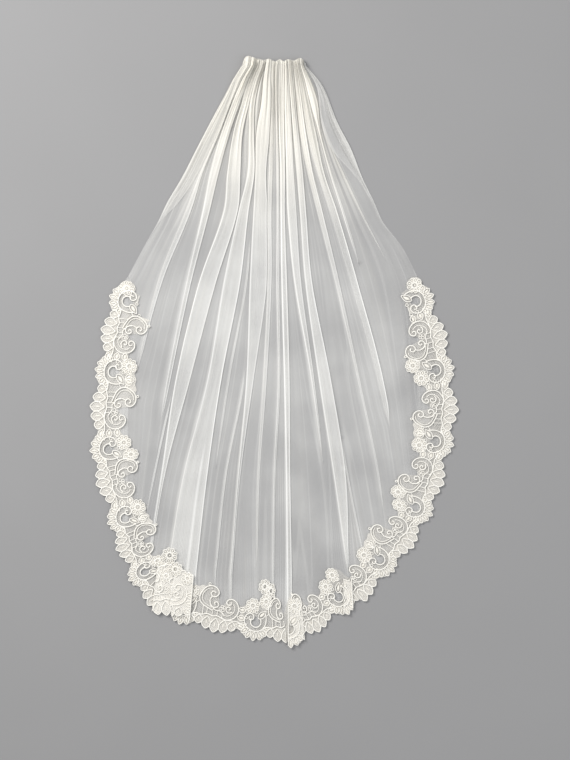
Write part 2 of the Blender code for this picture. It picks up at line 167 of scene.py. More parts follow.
# Pieces of the edging that lie folded over on it: a straight stretch of the pattern, cut along two lines
LACE_FOLDS = (
    # node, height, start of its outer edge, end, along of its start, left line, right line,
    # inset of its top edge at its start and end, which line is the fold itself
    ("lace_fold_left_under", 3.5, (-196, 869), (-140, 862), 580,
     ((-180, 786), (-190.5, 870)), ((-148, 780), (-148, 880)), (76, 79), None),
    ("lace_fold_left_over", 5, (-172, 868), (-116, 884), 55,
     ((-168, 780), (-157, 880)), ((-122, 780), (-131.5, 890)), (82, 68), 1),
    ("lace_fold_centre", 3.5, (10, 917.5), (62, 911), 431,
     ((21.5, 800), (21.5, 930)), ((41, 820), (50, 930)), None, 0),
    ("lace_fold_right", 3.5, (98, 874), (140, 850), 315,
     ((107, 760), (108, 890)), ((119, 760), (124, 890)), (74, 46), 1),
)
PETAL_POINTS = 12


class Slot(Enum):
    """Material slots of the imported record."""

    TULLE = "tulle"
    LACE = "lace"


class Held(Enum):
    """Ways in which a sheet of this veil lies."""

    GATHERED = "gathered"
    LAID = "laid"
    FOLDED = "folded"


def smooth_curve(places, values, at) -> np.ndarray:
    """Values of the smooth curve through a short table, held level past its ends.

    Args:
        places: the table's places, rising.
        values: the value at each place.
        at: where the curve is wanted.

    Returns:
        An array with a value for each place in at.
    """
    places, values = np.asarray(places, float), np.asarray(values, float)
    at = np.clip(np.asarray(at, float), places[0], places[-1])
    last = len(places) - 1
    ahead = np.minimum(np.arange(last + 1) + 1, last)
    behind = np.maximum(np.arange(last + 1) - 1, 0)
    slopes = (values[ahead] - values[behind]) / (places[ahead] - places[behind])
    index = np.clip(np.searchsorted(places, at, side="right") - 1, 0, last - 1)
    span = places[index + 1] - places[index]
    t = (at - places[index]) / span
    start, end = slopes[index] * span, slopes[index + 1] * span
    rise = values[index + 1] - values[index]
    return values[index] + start * t + (3 * rise - 2 * start - end) * t**2 + (start + end - 2 * rise) * t**3


def ease(share):
    """Soft step from 0 to 1, for a number or an array."""
    share = np.clip(share, 0.0, 1.0)
    return share * share * (3 - 2 * share)


def flow(points: list[tuple[float, float]], step: float = 1.6) -> np.ndarray:
    """Smooth line through a few points.

    Args:
        points: (along, inset) of each point.
        step: distance between the line's own points, in millimetres.

    Returns:
        An array of points, two numbers each.
    """
    given = np.asarray(points, float)
    runs = np.concatenate(([0.0], np.cumsum(np.linalg.norm(np.diff(given, axis=0), axis=1))))
    at = np.linspace(0.0, runs[-1], max(int(runs[-1] / step), 3) + 1)
    return np.stack([smooth_curve(runs, given[:, k], at) for k in (0, 1)], axis=1)


def way(angle: float) -> np.ndarray:
    """Direction of an angle in degrees, in the lace's pattern."""
    return np.array([math.cos(math.radians(angle)), math.sin(math.radians(angle))])


def ring(centre: tuple[float, float], radius: float, first: float = 0.0, last: float = 360.0) -> np.ndarray:
    """Arc about a centre, from one angle to another in degrees; 270 points outwards from the lace."""
    count = max(int(abs(last - first) / 360.0 * (6 + radius * 2.4)), 4)
    angles = np.radians(np.linspace(first, last, count + 1))
    return np.asarray(centre) + radius * np.stack([np.cos(angles), np.sin(angles)], axis=1)


def petal_outline(base: tuple[float, float], angle: float, length: float, width: float) -> np.ndarray:
    """Outline of a petal with a pointed tip.

    Args:
        base: (along, inset) of its foot.
        angle: where it points, in degrees; 270 is outwards from the lace.
        length: from foot to tip, in millimetres.
        width: at its widest.

    Returns:
        PETAL_POINTS points round the outline, from the foot and back to just short of it.
    """
    turn = np.linspace(0.0, 2 * math.pi, PETAL_POINTS, endpoint=False)
    forth = (1 - np.cos(turn)) / 2
    side = np.sign(np.sin(turn)) * np.sin(math.pi * forth**1.25) ** 0.8
    ahead = way(angle)
    left = np.array([-ahead[1], ahead[0]])
    return np.asarray(base) + length * forth[:, None] * ahead + width / 2 * side[:, None] * left


class Plan:
    """Turns the veil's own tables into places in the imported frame."""

    def __init__(self) -> None:
        """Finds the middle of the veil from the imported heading."""
        low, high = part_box("gather_heading")
        self.middle = (HEADING_ENDS[0] - low.x / MM, high.y / MM)

    def places(self, across, drop, height) -> np.ndarray:
        """World places in metres of points given in millimetres.

        Args:
            across: array of distances to the right of the heading's middle.
            drop: array of distances below the heading's top edge.
            height: array or number, above the surface.

        Returns:
            An array of places, three numbers each.
        """
        across, drop, height = np.broadcast_arrays(across, drop, height)
        return np.stack([across - self.middle[0], self.middle[1] - drop, height], axis=-1) * MM


class HemLine:
    """The scalloped hem, as a line that the lace's pattern is laid along."""

    STEPS = 3000
    TURN_SOFTNESS = 121

    def __init__(self) -> None:
        """Lays out the line and the way outwards at each of its places."""
        path = np.asarray(HEM_PATH)
        corners = np.concatenate(([0.0], np.cumsum(np.linalg.norm(np.diff(path, axis=0), axis=1))))
        self.length = float(corners[-1])
        self.runs = np.linspace(0.0, self.length, self.STEPS)
        self.across = smooth_curve(corners, path[:, 0], self.runs)
        self.drop = smooth_curve(corners, path[:, 1], self.runs)
        ahead = np.stack([np.gradient(self.across), np.gradient(self.drop)], axis=1)
        ahead /= np.linalg.norm(ahead, axis=1, keepdims=True)
        pad = self.TURN_SOFTNESS // 2
        held = np.pad(ahead, ((pad, pad), (0, 0)), mode="edge")
        window = np.ones(self.TURN_SOFTNESS) / self.TURN_SOFTNESS
        ahead = np.stack([np.convolve(held[:, k], window, mode="valid") for k in (0, 1)], axis=1)
        ahead /= np.linalg.norm(ahead, axis=1, keepdims=True)
        self.outwards = np.stack([-ahead[:, 1], ahead[:, 0]], axis=1)

    def run_at(self, along) -> np.ndarray:
        """Run of a place in the pattern, whose repeats differ in length and of which folds hide a part."""
        knots = [(k * LACE_REPEAT, run) for k, run in enumerate(EYE_RUNS)]
        for first, last, start, end in HIDDEN_PARTS:
            knots = [knot for knot in knots if not first < knot[0] < last] + [(first, start), (last, end)]
        knots = np.asarray(sorted(knots))
        along = np.asarray(along, float)
        run = np.interp(along, knots[:, 0], knots[:, 1])
        return run + np.minimum(along, 0.0) + np.maximum(along - knots[-1, 0], 0.0)

    def lay(self, along, inset) -> tuple[np.ndarray, np.ndarray]:
        """Across and drop of places in the pattern, which runs on straight past the line's ends.

        Args:
            along: array of places along the hem, one repeat for each LACE_REPEAT.
            inset: array of distances in from the outer edge.

        Returns:
            The places' across and drop.
        """
        run = self.run_at(along)
        past = run - np.clip(run, 0.0, self.length)
        out_across, out_drop = (np.interp(run, self.runs, self.outwards[:, k]) for k in (0, 1))
        reach = OUTER_REACH - np.asarray(inset, float)
        across = np.interp(run, self.runs, self.across) + reach * out_across + past * out_drop
        drop = np.interp(run, self.runs, self.drop) + reach * out_drop - past * out_across
        return across, drop

    def cloth_edge(self, left: bool) -> tuple[np.ndarray, np.ndarray]:
        """Edge of the tulle on one side, down to the middle of the bottom hem.

        Args:
            left: True for the left side.

        Returns:
            Rising drops, and the edge's across at each.
        """
        out = self.outwards * -HEM_INSET
        across, drop = self.across + out[:, 0], self.drop + out[:, 1]
        lowest = int(np.argmax(drop))
        part = slice(0, lowest + 1) if left else slice(len(drop) - 1, lowest - 1, -1)
        return np.maximum.accumulate(drop[part]), across[part]


@dataclass(frozen=True)
class FoldLine:
    """A straight stretch of the edging, folded over, that the pattern is laid along."""

    start: tuple[float, float]
    end: tuple[float, float]
    first_along: float

    @property
    def length(self) -> float:
        """Length of the stretch."""
        return math.dist(self.start, self.end)

    @property
    def ahead(self) -> np.ndarray:
        """Direction that the stretch runs in."""
        return (np.asarray(self.end) - np.asarray(self.start)) / self.length

    def lay(self, along, inset) -> tuple[np.ndarray, np.ndarray]:
        """Across and drop of places in the pattern, as HemLine.lay gives them."""
        ahead, inset = self.ahead, np.asarray(inset, float)
        forth = np.asarray(along, float) - self.first_along
        across = self.start[0] + forth * ahead[0] + inset * ahead[1]
        drop = self.start[1] + forth * ahead[1] - inset * ahead[0]
        return across, drop

    def find(self, places: np.ndarray) -> np.ndarray:
        """(Along, inset) of places given as (across, drop)."""
        ahead, away = self.ahead, places - np.asarray(self.start)
        return np.stack([self.first_along + away @ ahead, away @ np.array([ahead[1], -ahead[0]])], axis=1)


class Value:
    """A number socket of a shader, so that its maths can be written as an expression."""

    def __init__(self, shader: "ShaderTree", socket) -> None:
        """Wraps a socket."""
        self.shader, self.socket = shader, socket

    def _join(self, operation: str, *others) -> "Value":
        """Adds one Math node."""
        inputs = {0: self}
        inputs.update({k + 1: other for k, other in enumerate(others)})
        node = self.shader.add("ShaderNodeMath", {"operation": operation}, inputs)
        return Value(self.shader, node.outputs[0])

    def __add__(self, other) -> "Value":
        """Sum."""
        return self._join("ADD", other)

    __radd__ = __add__

    def __mul__(self, other) -> "Value":
        """Product."""
        return self._join("MULTIPLY", other)

    __rmul__ = __mul__

    def __sub__(self, other) -> "Value":
        """Difference."""
        return self._join("SUBTRACT", other)

    def __rsub__(self, other) -> "Value":
        """Difference, the other way round."""
        return self * -1.0 + other

    def power(self, other) -> "Value":
        """This value to a power."""
        return self._join("POWER", other)

    def cosine(self) -> "Value":
        """Cosine of this value."""
        return self._join("COSINE")

    def top(self, other) -> "Value":
        """The greater of two values."""
        return self._join("MAXIMUM", other)

    def bottom(self, other) -> "Value":
        """The lesser of two values."""
        return self._join("MINIMUM", other)

    def ramp(self, low: float, high: float, start: float = 0.0, end: float = 1.0) -> "Value":
        """Soft step from start to end as this value goes from low to high."""
        node = self.shader.add(
            "ShaderNodeMapRange",
            {"interpolation_type": "SMOOTHSTEP"},
            {"Value": self, "From Min": low, "From Max": high, "To Min": start, "To Max": end},
        )
        return Value(self.shader, node.outputs["Result"])


class ShaderTree:
    """The node tree of one material."""

    def __init__(self, name: str) -> None:
        """Starts a material with one Principled shader."""
        self.material = bpy.data.materials.new(name)
        self.material.use_nodes = True
        self.tree = self.material.node_tree
        self.surface = self.tree.nodes["Principled BSDF"]

    def add(self, kind: str, settings: dict | None = None, inputs: dict | None = None):
        """Adds a node.

        Args:
            kind: the node's type.
            settings: its own settings, set first.
            inputs: a value, socket or Value for each of its sockets, by name or place.

        Returns:
            The node.
        """
        node = self.tree.nodes.new(kind)
        for key, setting in (settings or {}).items():
            setattr(node, key, setting)
        self.feed(node, inputs or {})
        return node

    def feed(self, node, inputs: dict) -> None:
        """Gives each of a node's sockets that is named a constant or a link."""
        for key, given in inputs.items():
            given = given.socket if isinstance(given, Value) else given
            if isinstance(given, bpy.types.NodeSocket):
                self.tree.links.new(given, node.inputs[key])
            else:
                node.inputs[key].default_value = given

    def parts(self, vector) -> tuple[Value, Value, Value]:
        """The three numbers of a vector socket."""
        node = self.add("ShaderNodeSeparateXYZ", {}, {0: vector})
        return tuple(Value(self, node.outputs[k]) for k in range(3))

    def vector(self, x, y, z=0.0):
        """A vector socket of three numbers."""
        return self.add("ShaderNodeCombineXYZ", {}, {0: x, 1: y, 2: z}).outputs[0]

    def attribute(self, name: str) -> Value:
        """A number that the mesh carries at each point."""
        node = self.add("ShaderNodeAttribute", {"attribute_name": name})
        return Value(self, node.outputs["Fac"])

    def uv(self, name: str):
        """A UV map of the mesh."""
        return self.add("ShaderNodeUVMap", {"uv_map": name}).outputs[0]

    def place(self):
        """The Object coordinates."""
        return self.add("ShaderNodeTexCoord").outputs["Object"]

    def noise(self, vector, scale: float, detail: float = 2.0, roughness: float = 0.5) -> Value:
        """Soft noise from 0 to 1."""
        node = self.add(
            "ShaderNodeTexNoise", {}, {"Vector": vector, "Scale": scale, "Detail": detail, "Roughness": roughness}
        )
        return Value(self, node.outputs[0])

    def blend(self, share, first, second):
        """A colour between two, by a share."""
        node = self.add("ShaderNodeMix", {"data_type": "RGBA"}, {0: share, 6: first, 7: second})
        return node.outputs[2]

    def bump(self, height, strength: float, distance: float, below=None):
        """A Bump node's normal, on top of another's where below is given."""
        inputs = {"Height": height, "Strength": strength, "Distance": distance}
        if below is not None:
            inputs["Normal"] = below
        return self.add("ShaderNodeBump", {}, inputs).outputs[0]

    def honeycomb(self, vector, pitch: float) -> Value:
        """Threads of a six-sided net: 1 on a thread and 0 in a hole.

        Args:
            vector: where the pattern is read, in metres.
            pitch: distance between holes, in metres.

        Returns:
            The share of thread.
        """
        x, y, _ = self.parts(vector)
        turn = 2 * math.pi / pitch / math.cos(math.pi / 6)
        waves = [
            (x * (turn * math.cos(angle)) + y * (turn * math.sin(angle))).cosine()
            for angle in (0.0, math.pi / 3, 2 * math.pi / 3)
        ]
        return (waves[0] + waves[1] + waves[2]).ramp(0.6, -0.9)


@dataclass(frozen=True)
class TulleFinish:
    """Fine ivory net: sheer in one layer, milky where it is gathered and bright along a crease, with painted shade in
    the valleys between its gathers.
    """

    name: str = "soft_ivory_tulle"
    pale: tuple = (0.9, 0.9, 0.885, 1.0)
    cream: tuple = (0.9, 0.87, 0.79, 1.0)
    shade: tuple = (0.66, 0.65, 0.6, 1.0)
    sheer: float = 0.25
    crease_cover: float = 0.97
    mesh_pitch: float = 0.0012

    def make(self) -> bpy.types.Material:
        """Builds the material.

        Returns:
            The material.
        """
        shader = ShaderTree(self.name)
        u, v, _ = shader.parts(shader.uv("cloth"))
        layers, crease, gather = (shader.attribute(name) for name in ("layers", "crease", "gather"))
        threads = shader.honeycomb(shader.uv("cloth"), self.mesh_pitch)
        streaks = shader.noise(shader.vector(u * 75.0, v * 0.9), 1.0, 3.0, 0.65)
        fine_streaks = shader.noise(shader.vector(u * 330.0, v * 2.0), 1.0, 2.0)
        clouds = shader.noise(shader.place(), 9.0, 2.0)
        streak = streaks.ramp(0.34, 0.66, -1.0, 1.0)
        fine = fine_streaks.ramp(0.35, 0.65, -1.0, 1.0)
        uneven = clouds.ramp(0.3, 0.7, 0.66, 1.34) + streak * (0.14 + gather * 0.5) + fine * (gather * 0.3)
        one_layer = (self.sheer * uneven * threads.ramp(0.0, 1.0, 0.75, 1.25)).top(0.03)
        cover = 1.0 - (1.0 - one_layer).power(layers)
        away = shader.noise(shader.vector(u * 52.0, v * 1.3), 1.0, 1.0) - 0.5
        line = (away * away).ramp(0.0006, 0.0) * (0.1 + gather * 0.42)
        cover = cover + (self.crease_cover - cover).top(0.0) * (crease.bottom(1.0) + line).bottom(1.0)
        warmth = (gather * 0.8 + fine_streaks.ramp(0.45, 0.7, 0.0, 0.2)).bottom(1.0)
        body = shader.blend(warmth, self.pale, self.cream)
        # Painted shade: the colour darkens to the shade colour in the streaks' valleys, most where the tulle is
        # gathered, and not on creases or fine lines
        painted_valley_shade = (0.0 - streak).top(0.0) * gather * (1.0 - crease.bottom(1.0)) * 0.8 * (1.0 - line)
        grooves = shader.bump(streaks * (0.3 + gather * 0.7) + fine_streaks * gather * 0.3, 0.5, 0.0014)
        shader.feed(shader.surface, {
            "Base Color": shader.blend(painted_valley_shade, body, self.shade),
            "Alpha": cover.bottom(0.985),
            "Normal": shader.bump(threads, 0.15, 0.00012, grooves),
            "Roughness": fine_streaks.ramp(0.2, 0.8, 0.5, 0.66),
            "Sheen Weight": 0.15,
            "Specular IOR Level": 0.3,
        })
        return shader.material


@dataclass(frozen=True)
class LaceNetFinish:
    """The net ground of the lace, coarser than the tulle."""

    name: str
    colour: tuple = (0.86, 0.84, 0.79, 1.0)
    shade: tuple = (0.76, 0.73, 0.67, 1.0)
    open_cover: float = 0.12
    thread_cover: float = 0.5
    close_cover: float = 0.72
    mesh_pitch: float = 0.0026

    def make(self) -> bpy.types.Material:
        """Builds the material.

        Returns:
            The material.
        """
        shader = ShaderTree(self.name)
        threads = shader.honeycomb(shader.uv("cloth"), self.mesh_pitch)
        patches = shader.noise(shader.place(), 60.0, 2.0)
        cover = threads.ramp(0.0, 1.0, self.open_cover, self.thread_cover) * patches.ramp(0.3, 0.7, 0.85, 1.15)
        filled = shader.attribute("close") * threads.ramp(0.0, 1.0, self.close_cover - 0.2, self.close_cover + 0.1)
        shader.feed(shader.surface, {
            "Base Color": shader.blend(patches, self.colour, self.shade),
            "Alpha": cover.top(filled).bottom(0.97),
            "Normal": shader.bump(threads, 0.4, 0.0003),
            "Roughness": patches.ramp(0.2, 0.8, 0.6, 0.75),
            "Specular IOR Level": 0.25,
        })
        return shader.material


@dataclass(frozen=True)
class ThreadFinish:
    """Thread of the lace: laid cords, or the close stitches that fill a petal."""

    name: str
    colour: tuple = (0.94, 0.925, 0.88, 1.0)
    shade: tuple = (0.88, 0.855, 0.79, 1.0)
    stitch: float = 0.0009
    depth: float = 0.0002

    def make(self) -> bpy.types.Material:
        """Builds the material.

        Returns:
            The material.
        """
        shader = ShaderTree(self.name)
        place = shader.place()
        patches = shader.noise(place, 90.0, 2.0)
        x, y, z = shader.parts(place)
        wander = shader.noise(place, 400.0, 2.0)
        turn = 2 * math.pi / self.stitch
        twist = ((x * 0.8 + y * 0.6 + z) * turn + wander * 5.0).cosine()
        fuzz = shader.noise(place, 2600.0, 2.0)
        shader.feed(shader.surface, {
            "Base Color": shader.blend(patches, self.colour, self.shade),
            "Normal": shader.bump(fuzz, 0.3, self.depth, shader.bump(twist, 0.4, self.depth)),
            "Roughness": patches.ramp(0.2, 0.8, 0.55, 0.75),
            "Sheen Weight": 0.2,
            "Specular IOR Level": 0.3,
        })
        return shader.material


@dataclass(frozen=True)
class FloorFinish:
    """Plain matt paper under the veil."""

    name: str = "plain_floor"
    colour: tuple = (0.3, 0.3, 0.305, 1.0)
    shade: tuple = (0.288, 0.288, 0.292, 1.0)

    def make(self) -> bpy.types.Material:
        """Builds the material.

        Returns:
            The material.
        """
        shader = ShaderTree(self.name)
        patches = shader.noise(shader.place(), 6.0, 2.0)
        colour = shader.blend(patches, self.colour, self.shade)
        shader.feed(shader.surface, {"Base Color": colour, "Roughness": 0.9, "Specular IOR Level": 0.2})
        return shader.material


def finished(shape: bmesh.types.BMesh, name: str, material: bpy.types.Material) -> bpy.types.Object:
    """Makes an object from a bmesh and frees it.

    Args:
        shape: the finished shape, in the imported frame.
        name: the piece's name.
        material: its finish.

    Returns:
        The object, at the origin.
    """
    mesh = bpy.data.meshes.new(name)
    shape.to_mesh(mesh)
    shape.free()
    return shown(mesh, name, material)


def shown(mesh: bpy.types.Mesh, name: str, material: bpy.types.Material) -> bpy.types.Object:
    """Puts a mesh in the scene with smooth shading and one material."""
    mesh.materials.clear()
    mesh.materials.append(material)
    mesh.polygons.foreach_set("use_smooth", np.ones(len(mesh.polygons), bool))
    piece = bpy.data.objects.new(name, mesh)
    bpy.context.scene.collection.objects.link(piece)
    return piece


def dress(piece: bpy.types.Object, slot: Slot, *nodes: str) -> bpy.types.Object:
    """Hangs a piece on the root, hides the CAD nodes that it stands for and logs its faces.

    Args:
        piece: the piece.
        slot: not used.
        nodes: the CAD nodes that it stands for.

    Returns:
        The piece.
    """
    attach(piece, "root")
    if nodes:
        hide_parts(*nodes)
    LOG.info("%s: %d faces", piece.name, len(piece.data.polygons))
    return piece


def carry(mesh: bpy.types.Mesh, name: str, values: np.ndarray) -> None:
    """Stores a number at each point of a mesh."""
    mesh.attributes.new(name, "FLOAT", "POINT").data.foreach_set("value", values.astype(np.float32))


def map_cloth(mesh: bpy.types.Mesh, uv: np.ndarray) -> None:
    """Gives a mesh its cloth map, from the two numbers of each point."""
    corners = np.zeros(len(mesh.loops), int)
    mesh.loops.foreach_get("vertex_index", corners)
    mesh.uv_layers.new(name="cloth").data.foreach_set("uv", uv[corners].ravel())


def heading_back(across) -> np.ndarray:
    """Drop of the heading's back edge, which is humped."""
    table = np.asarray(HEADING_BACK)
    return smooth_curve(table[:, 0], table[:, 1], across)


@dataclass
class Column:
    """One thread line down the tulle, from the heading to the hem."""

    across: np.ndarray
    height: np.ndarray
    crease: np.ndarray
    layers: np.ndarray
    gathered: float


@dataclass
class Fold:
    """One pleat of the tulle."""

    left: np.ndarray
    right: np.ndarray
    height: np.ndarray
    creases: tuple[float, float]
    cover: np.ndarray
    inner: int
    phase: float = 0.0
    top_crease: float = 0.0


@dataclass
class Tulle:
    """The tulle tier: one sheet, rolled over at the heading, gathered, and folded to and fro into pleats."""

    plan: Plan
    hem: HemLine
    top: float = 17.0
    fine_from: float = 850.0
    bottom: float = 895.0
    rows: int = 130
    fine_rows: int = 22
    roll_rows: int = 9
    roll_from: float = 222.0
    roll_to: float = 96.0
    roll_reach: float = 6.6
    roll_step: float = 2.0
    floor: float = 0.5
    gather_reach: float = 320.0
    gather_height: float = 8.4
    flat_height: float = 1.1
    heading_rise: float = 0.36
    lace_below: float = 12.0
    middle_drop: float = 500.0
    crease_width: float = 2.4
    top_layers: float = 3.8
    cut_width: float = 0.94
    cut_length: float = 0.9
    cut_area: float = 0.75
    bulge: float = 0.9
    smoothed: float = 0.8
    merge_reach: float = 0.04
    plain_bunched: float = 0.45
    last_bunched: float = 0.08
    raw_bunched: float = 0.05
    sheer_below: float = 0.1
    sheer_layer: float = 0.62
    sheer_gather: float = 0.2
    fine_gather: float = 0.3
    seed: int = 7
    columns: list[Column] = field(default_factory=list)

    # Steps over a folded-in side edge and back below it: share of its width, of its height, crease
    SIDE_STEPS = (
        (0, 1, 0.35), (0.08, 1, 0.1), (0.35, 1.05, 0), (0.7, 1, 0.05), (0.94, 0.8, 0.3), (1, 0.5, 0.6),
        (0.92, 0.2, 0.25), (0.5, 0.12, 0),
    )

    def __post_init__(self) -> None:
        """Works out what each row of the sheet needs."""
        upper = np.linspace(self.top, self.fine_from, self.rows)
        lower = np.linspace(self.fine_from, self.bottom, self.fine_rows)[1:]
        self.drops = np.concatenate([upper, lower])
        self.gather = ease(1 - (self.drops - 14.0) / self.gather_reach)
        table = np.asarray(SIDE_EDGES)
        self.left = self._side(table, 1, True)
        self.right = self._side(table, 2, False)
        self.left_inner = smooth_curve(table[:, 0], table[:, 3], self.drops)
        self.right_inner = smooth_curve(table[:, 0], table[:, 4], self.drops)

    def _side(self, table: np.ndarray, column: int, left: bool) -> np.ndarray:
        """Across of one side edge at each row: the raw edge above, and the hem's line below the lace's end."""
        drops, across = self.hem.cloth_edge(left)
        below = drops > table[-1, 0] + self.lace_below
        raw = np.linspace(table[0, 0], table[-1, 0], 40)
        raw_across = smooth_curve(table[:, 0], table[:, column], raw)
        return np.interp(self.drops, np.concatenate([raw, drops[below]]), np.concatenate([raw_across, across[below]]))

    def _until(self, drop: float, span: float) -> np.ndarray:
        """Share at each row that fades from 1 to 0 over a span that ends at the drop."""
        return ease((drop - self.drops) / span)

    def _after(self, drop: float, span: float) -> np.ndarray:
        """Share at each row that grows from 0 to 1 over a span that starts at the drop."""
        return ease((self.drops - drop) / span)

    def _low(self, share: float) -> np.ndarray:
        """Share of a pleat's height at its edge, which is nearly level with its top by the heading."""
        return share + (0.94 - share) * self.smoothed * self._until(105.0, 70.0)

    def _add(self, across, height, crease=0.0, bunched: float = 1.0) -> None:
        """Adds one column of the sheet, kept inside its side edges.

        Args:
            across: its across at each row.
            height: its height.
            crease: how bright it is.
            bunched: share of the gathers' hidden layers that lie under it.
        """
        inside = np.clip(across, self.left, self.right)
        shape = np.ones_like(self.drops)
        layers = 1 + (self.top_layers - 1) * bunched * self.gather ** (1.4 / max(bunched, 0.2))
        gathered = 1.0
        if bunched < self.sheer_below:
            layers, gathered = layers * self.sheer_layer, self.sheer_gather
        self.columns.append(Column(inside, height * shape, crease * shape, layers, gathered))

    def _wave(self, across: np.ndarray) -> np.ndarray:
        """Height of the plain cloth: soft, uneven troughs that run down the veil."""
        spread = self._after(150.0, 200.0) * self._until(880.0, 200.0)
        fan = across / (0.45 + self.drops / 700.0)
        wave = np.sin(fan / 11.0 + 1.2 * np.sin(self.drops / 95.0)) + 0.6 * np.sin(fan / 5.3 + self.drops / 140.0)
        return self.floor + 0.22 * spread * (wave + 1.6)

    def _plain(self, start: np.ndarray, end: np.ndarray, count: int, bunched: float) -> None:
        """Adds plain cloth between two lines."""
        for share in np.linspace(0.0, 1.0, count + 2)[1:-1]:
            across = start + (end - start) * share
            self._add(across, self._wave(across) + self.lift, 0.0, bunched)

    def _fold(self, fold: Fold) -> None:
        """Adds one pleat: over it from left to right, back below, and out again along the surface."""
        left, right, height = fold.left, fold.right, fold.height
        width = right - left
        inset = np.minimum(self.crease_width, width * 0.3)
        bright = [crease * fold.cover for crease in fold.creases]
        self._add(left, self.floor + self._low(0.4) * height, 0.5 * bright[0])
        self._add(left + 0.3 * inset, self.floor + self._low(0.72) * height, bright[0])
        shares = np.linspace(0.0, 1.0, fold.inner + 2)
        marked = int(np.argmin(np.abs(shares - TOP_CREASE[1])))
        for place, share in enumerate(shares):
            across = left + inset + (width - 2 * inset) * share
            crown = 0.74 + 0.26 * math.sin(math.pi * share)
            ripple = 0.13 * math.sin(2 * math.pi * 2.3 * share + fold.phase)
            ripple += 0.07 * math.sin(2 * math.pi * 4.1 * share + 2 * fold.phase)
            edge = 0.3 * (bright[0] if share == 0.0 else bright[1]) if share in (0.0, 1.0) else 0.0
            if place == marked and fold.top_crease:
                edge = fold.top_crease * self._after(TOP_CREASE[2], 60.0) * fold.cover
            self._add(across, self.floor + height * (crown + ripple * self.gather), edge)
        middle = (left + right) / 2
        for across, rise, crease in (
            (right - 0.3 * inset, self._low(0.68), bright[1]),
            (right, self._low(0.55), 0.5 * bright[1]),
            (right - inset, 0.4, 0.2 * bright[1]),
            (middle, 0.4, 0.0),
            (left + inset, 0.28, 0.2 * bright[0]),
            (left, 0.12, 0.5 * bright[0]),
            (middle, 0.05, 0.0),
        ):
            self._add(across, self.floor + rise * height, crease)

    def _pleat_edges(self) -> list[tuple[np.ndarray, np.ndarray]]:
        """Left and right edge of each pleat at every row, where two pleats meet in step with their widths."""
        middles = [smooth_curve(PLEAT_DROPS, pleat[0], self.drops) for pleat in PLEATS]
        widths = [
            smooth_curve(PLEAT_DROPS, pleat[1], self.drops) * self._until(pleat[2] + 14.0, 40.0)
            for pleat in PLEATS
        ]
        meetings = [self.left_inner]
        for middle, width, ahead, ahead_width in zip(middles, widths, middles[1:], widths[1:]):
            meetings.append((middle * (ahead_width + 1.0) + ahead * (width + 1.0)) / (width + ahead_width + 2.0))
        meetings.append(self.right_inner)
        edges = []
        for middle, width, before, after in zip(middles, widths, meetings, meetings[1:]):
            left = np.maximum(middle - width / 2, before + PLEAT_GAP / 2)
            right = np.minimum(middle + width / 2, after - PLEAT_GAP / 2)
            edges.append((left, np.maximum(right, left + 0.02)))
        return edges

    def _span(self, index: int, start: np.ndarray, end: np.ndarray, height: np.ndarray) -> None:
        """Adds the plain cloth after a pleat, with any thin folds that lie in it."""
        for after, path, width, first, foot, crease in THIN_FOLDS:
            if after != index:
                continue
            cover = self._after(first - 25.0, 50.0) * self._until(foot + 40.0, 80.0)
            middle = smooth_curve(PLEAT_DROPS, path, self.drops)
            left = np.clip(middle - width * cover / 2, start + 0.05, end - 0.2)
            right = np.clip(middle + width * cover / 2, left + 0.02, end - 0.1)
            self._plain(start, left, 4, self.plain_bunched)
            self._fold(Fold(left, right, height * cover * 0.8, (0.6 * crease, crease), cover, 1))
            start = right
        last = index == len(PLEATS) - 1
        self._plain(start, end, 9 if last or index == -1 else 5, self.last_bunched if last else self.plain_bunched)

    def _side_fold(self, inner, outer, height: np.ndarray, from_edge: bool, bunched: float) -> None:
        """Adds a raw side edge folded in over the cloth, narrowing to nothing lower down."""
        fade = self._until(300.0, 60.0)
        for share, rise, crease in self.SIDE_STEPS if from_edge else self.SIDE_STEPS[::-1]:
            edge = crease * (fade if share < 0.9 else np.maximum(fade, 0.45))
            self._add(inner + (outer - inner) * share, self.floor + height * rise * fade, edge, bunched)

    def _lay_columns(self) -> None:
        """Lays the whole sheet from its left edge to its right edge."""
        height = self.flat_height + (self.gather_height - self.flat_height) * self.gather**4
        height = height * (1 + self.heading_rise * self._until(55.0, 40.0))
        self.lift = self.bulge * (height - self.flat_height) * self._until(160.0, 120.0)
        self._side_fold(self.left_inner, self.left, 0.3 * height + 0.6, True, self.plain_bunched)
        below_fold = np.minimum(self.left + 1.0, self.left_inner + 0.3)
        start = np.where(self.drops < 300.0, below_fold, self.left)
        for index, ((left, right), pleat) in enumerate(zip(self._pleat_edges(), PLEATS)):
            _, widths, foot, crease_left, crease_right = pleat
            self._span(index - 1, start, left, height)
            cover = self._until(foot + 40.0, 90.0) * (0.55 + 0.45 * self._after(60.0, 180.0))
            tall = height * (1 + 0.1 * math.sin(2.3 * index)) * self._until(foot + 20.0, 40.0)
            mark = TOP_CREASE[3] if index == TOP_CREASE[0] else 0.0
            inner = 9 if max(widths[:6]) > 12.0 else 5
            self._fold(Fold(left, right, tall, (crease_left, crease_right), cover, inner, 1.7 * index, mark))
            start = right
        self._span(len(PLEATS) - 1, start, self.right, height)
        self._side_fold(self.right_inner, self.right, 0.3 * height + 0.6, False, self.raw_bunched)

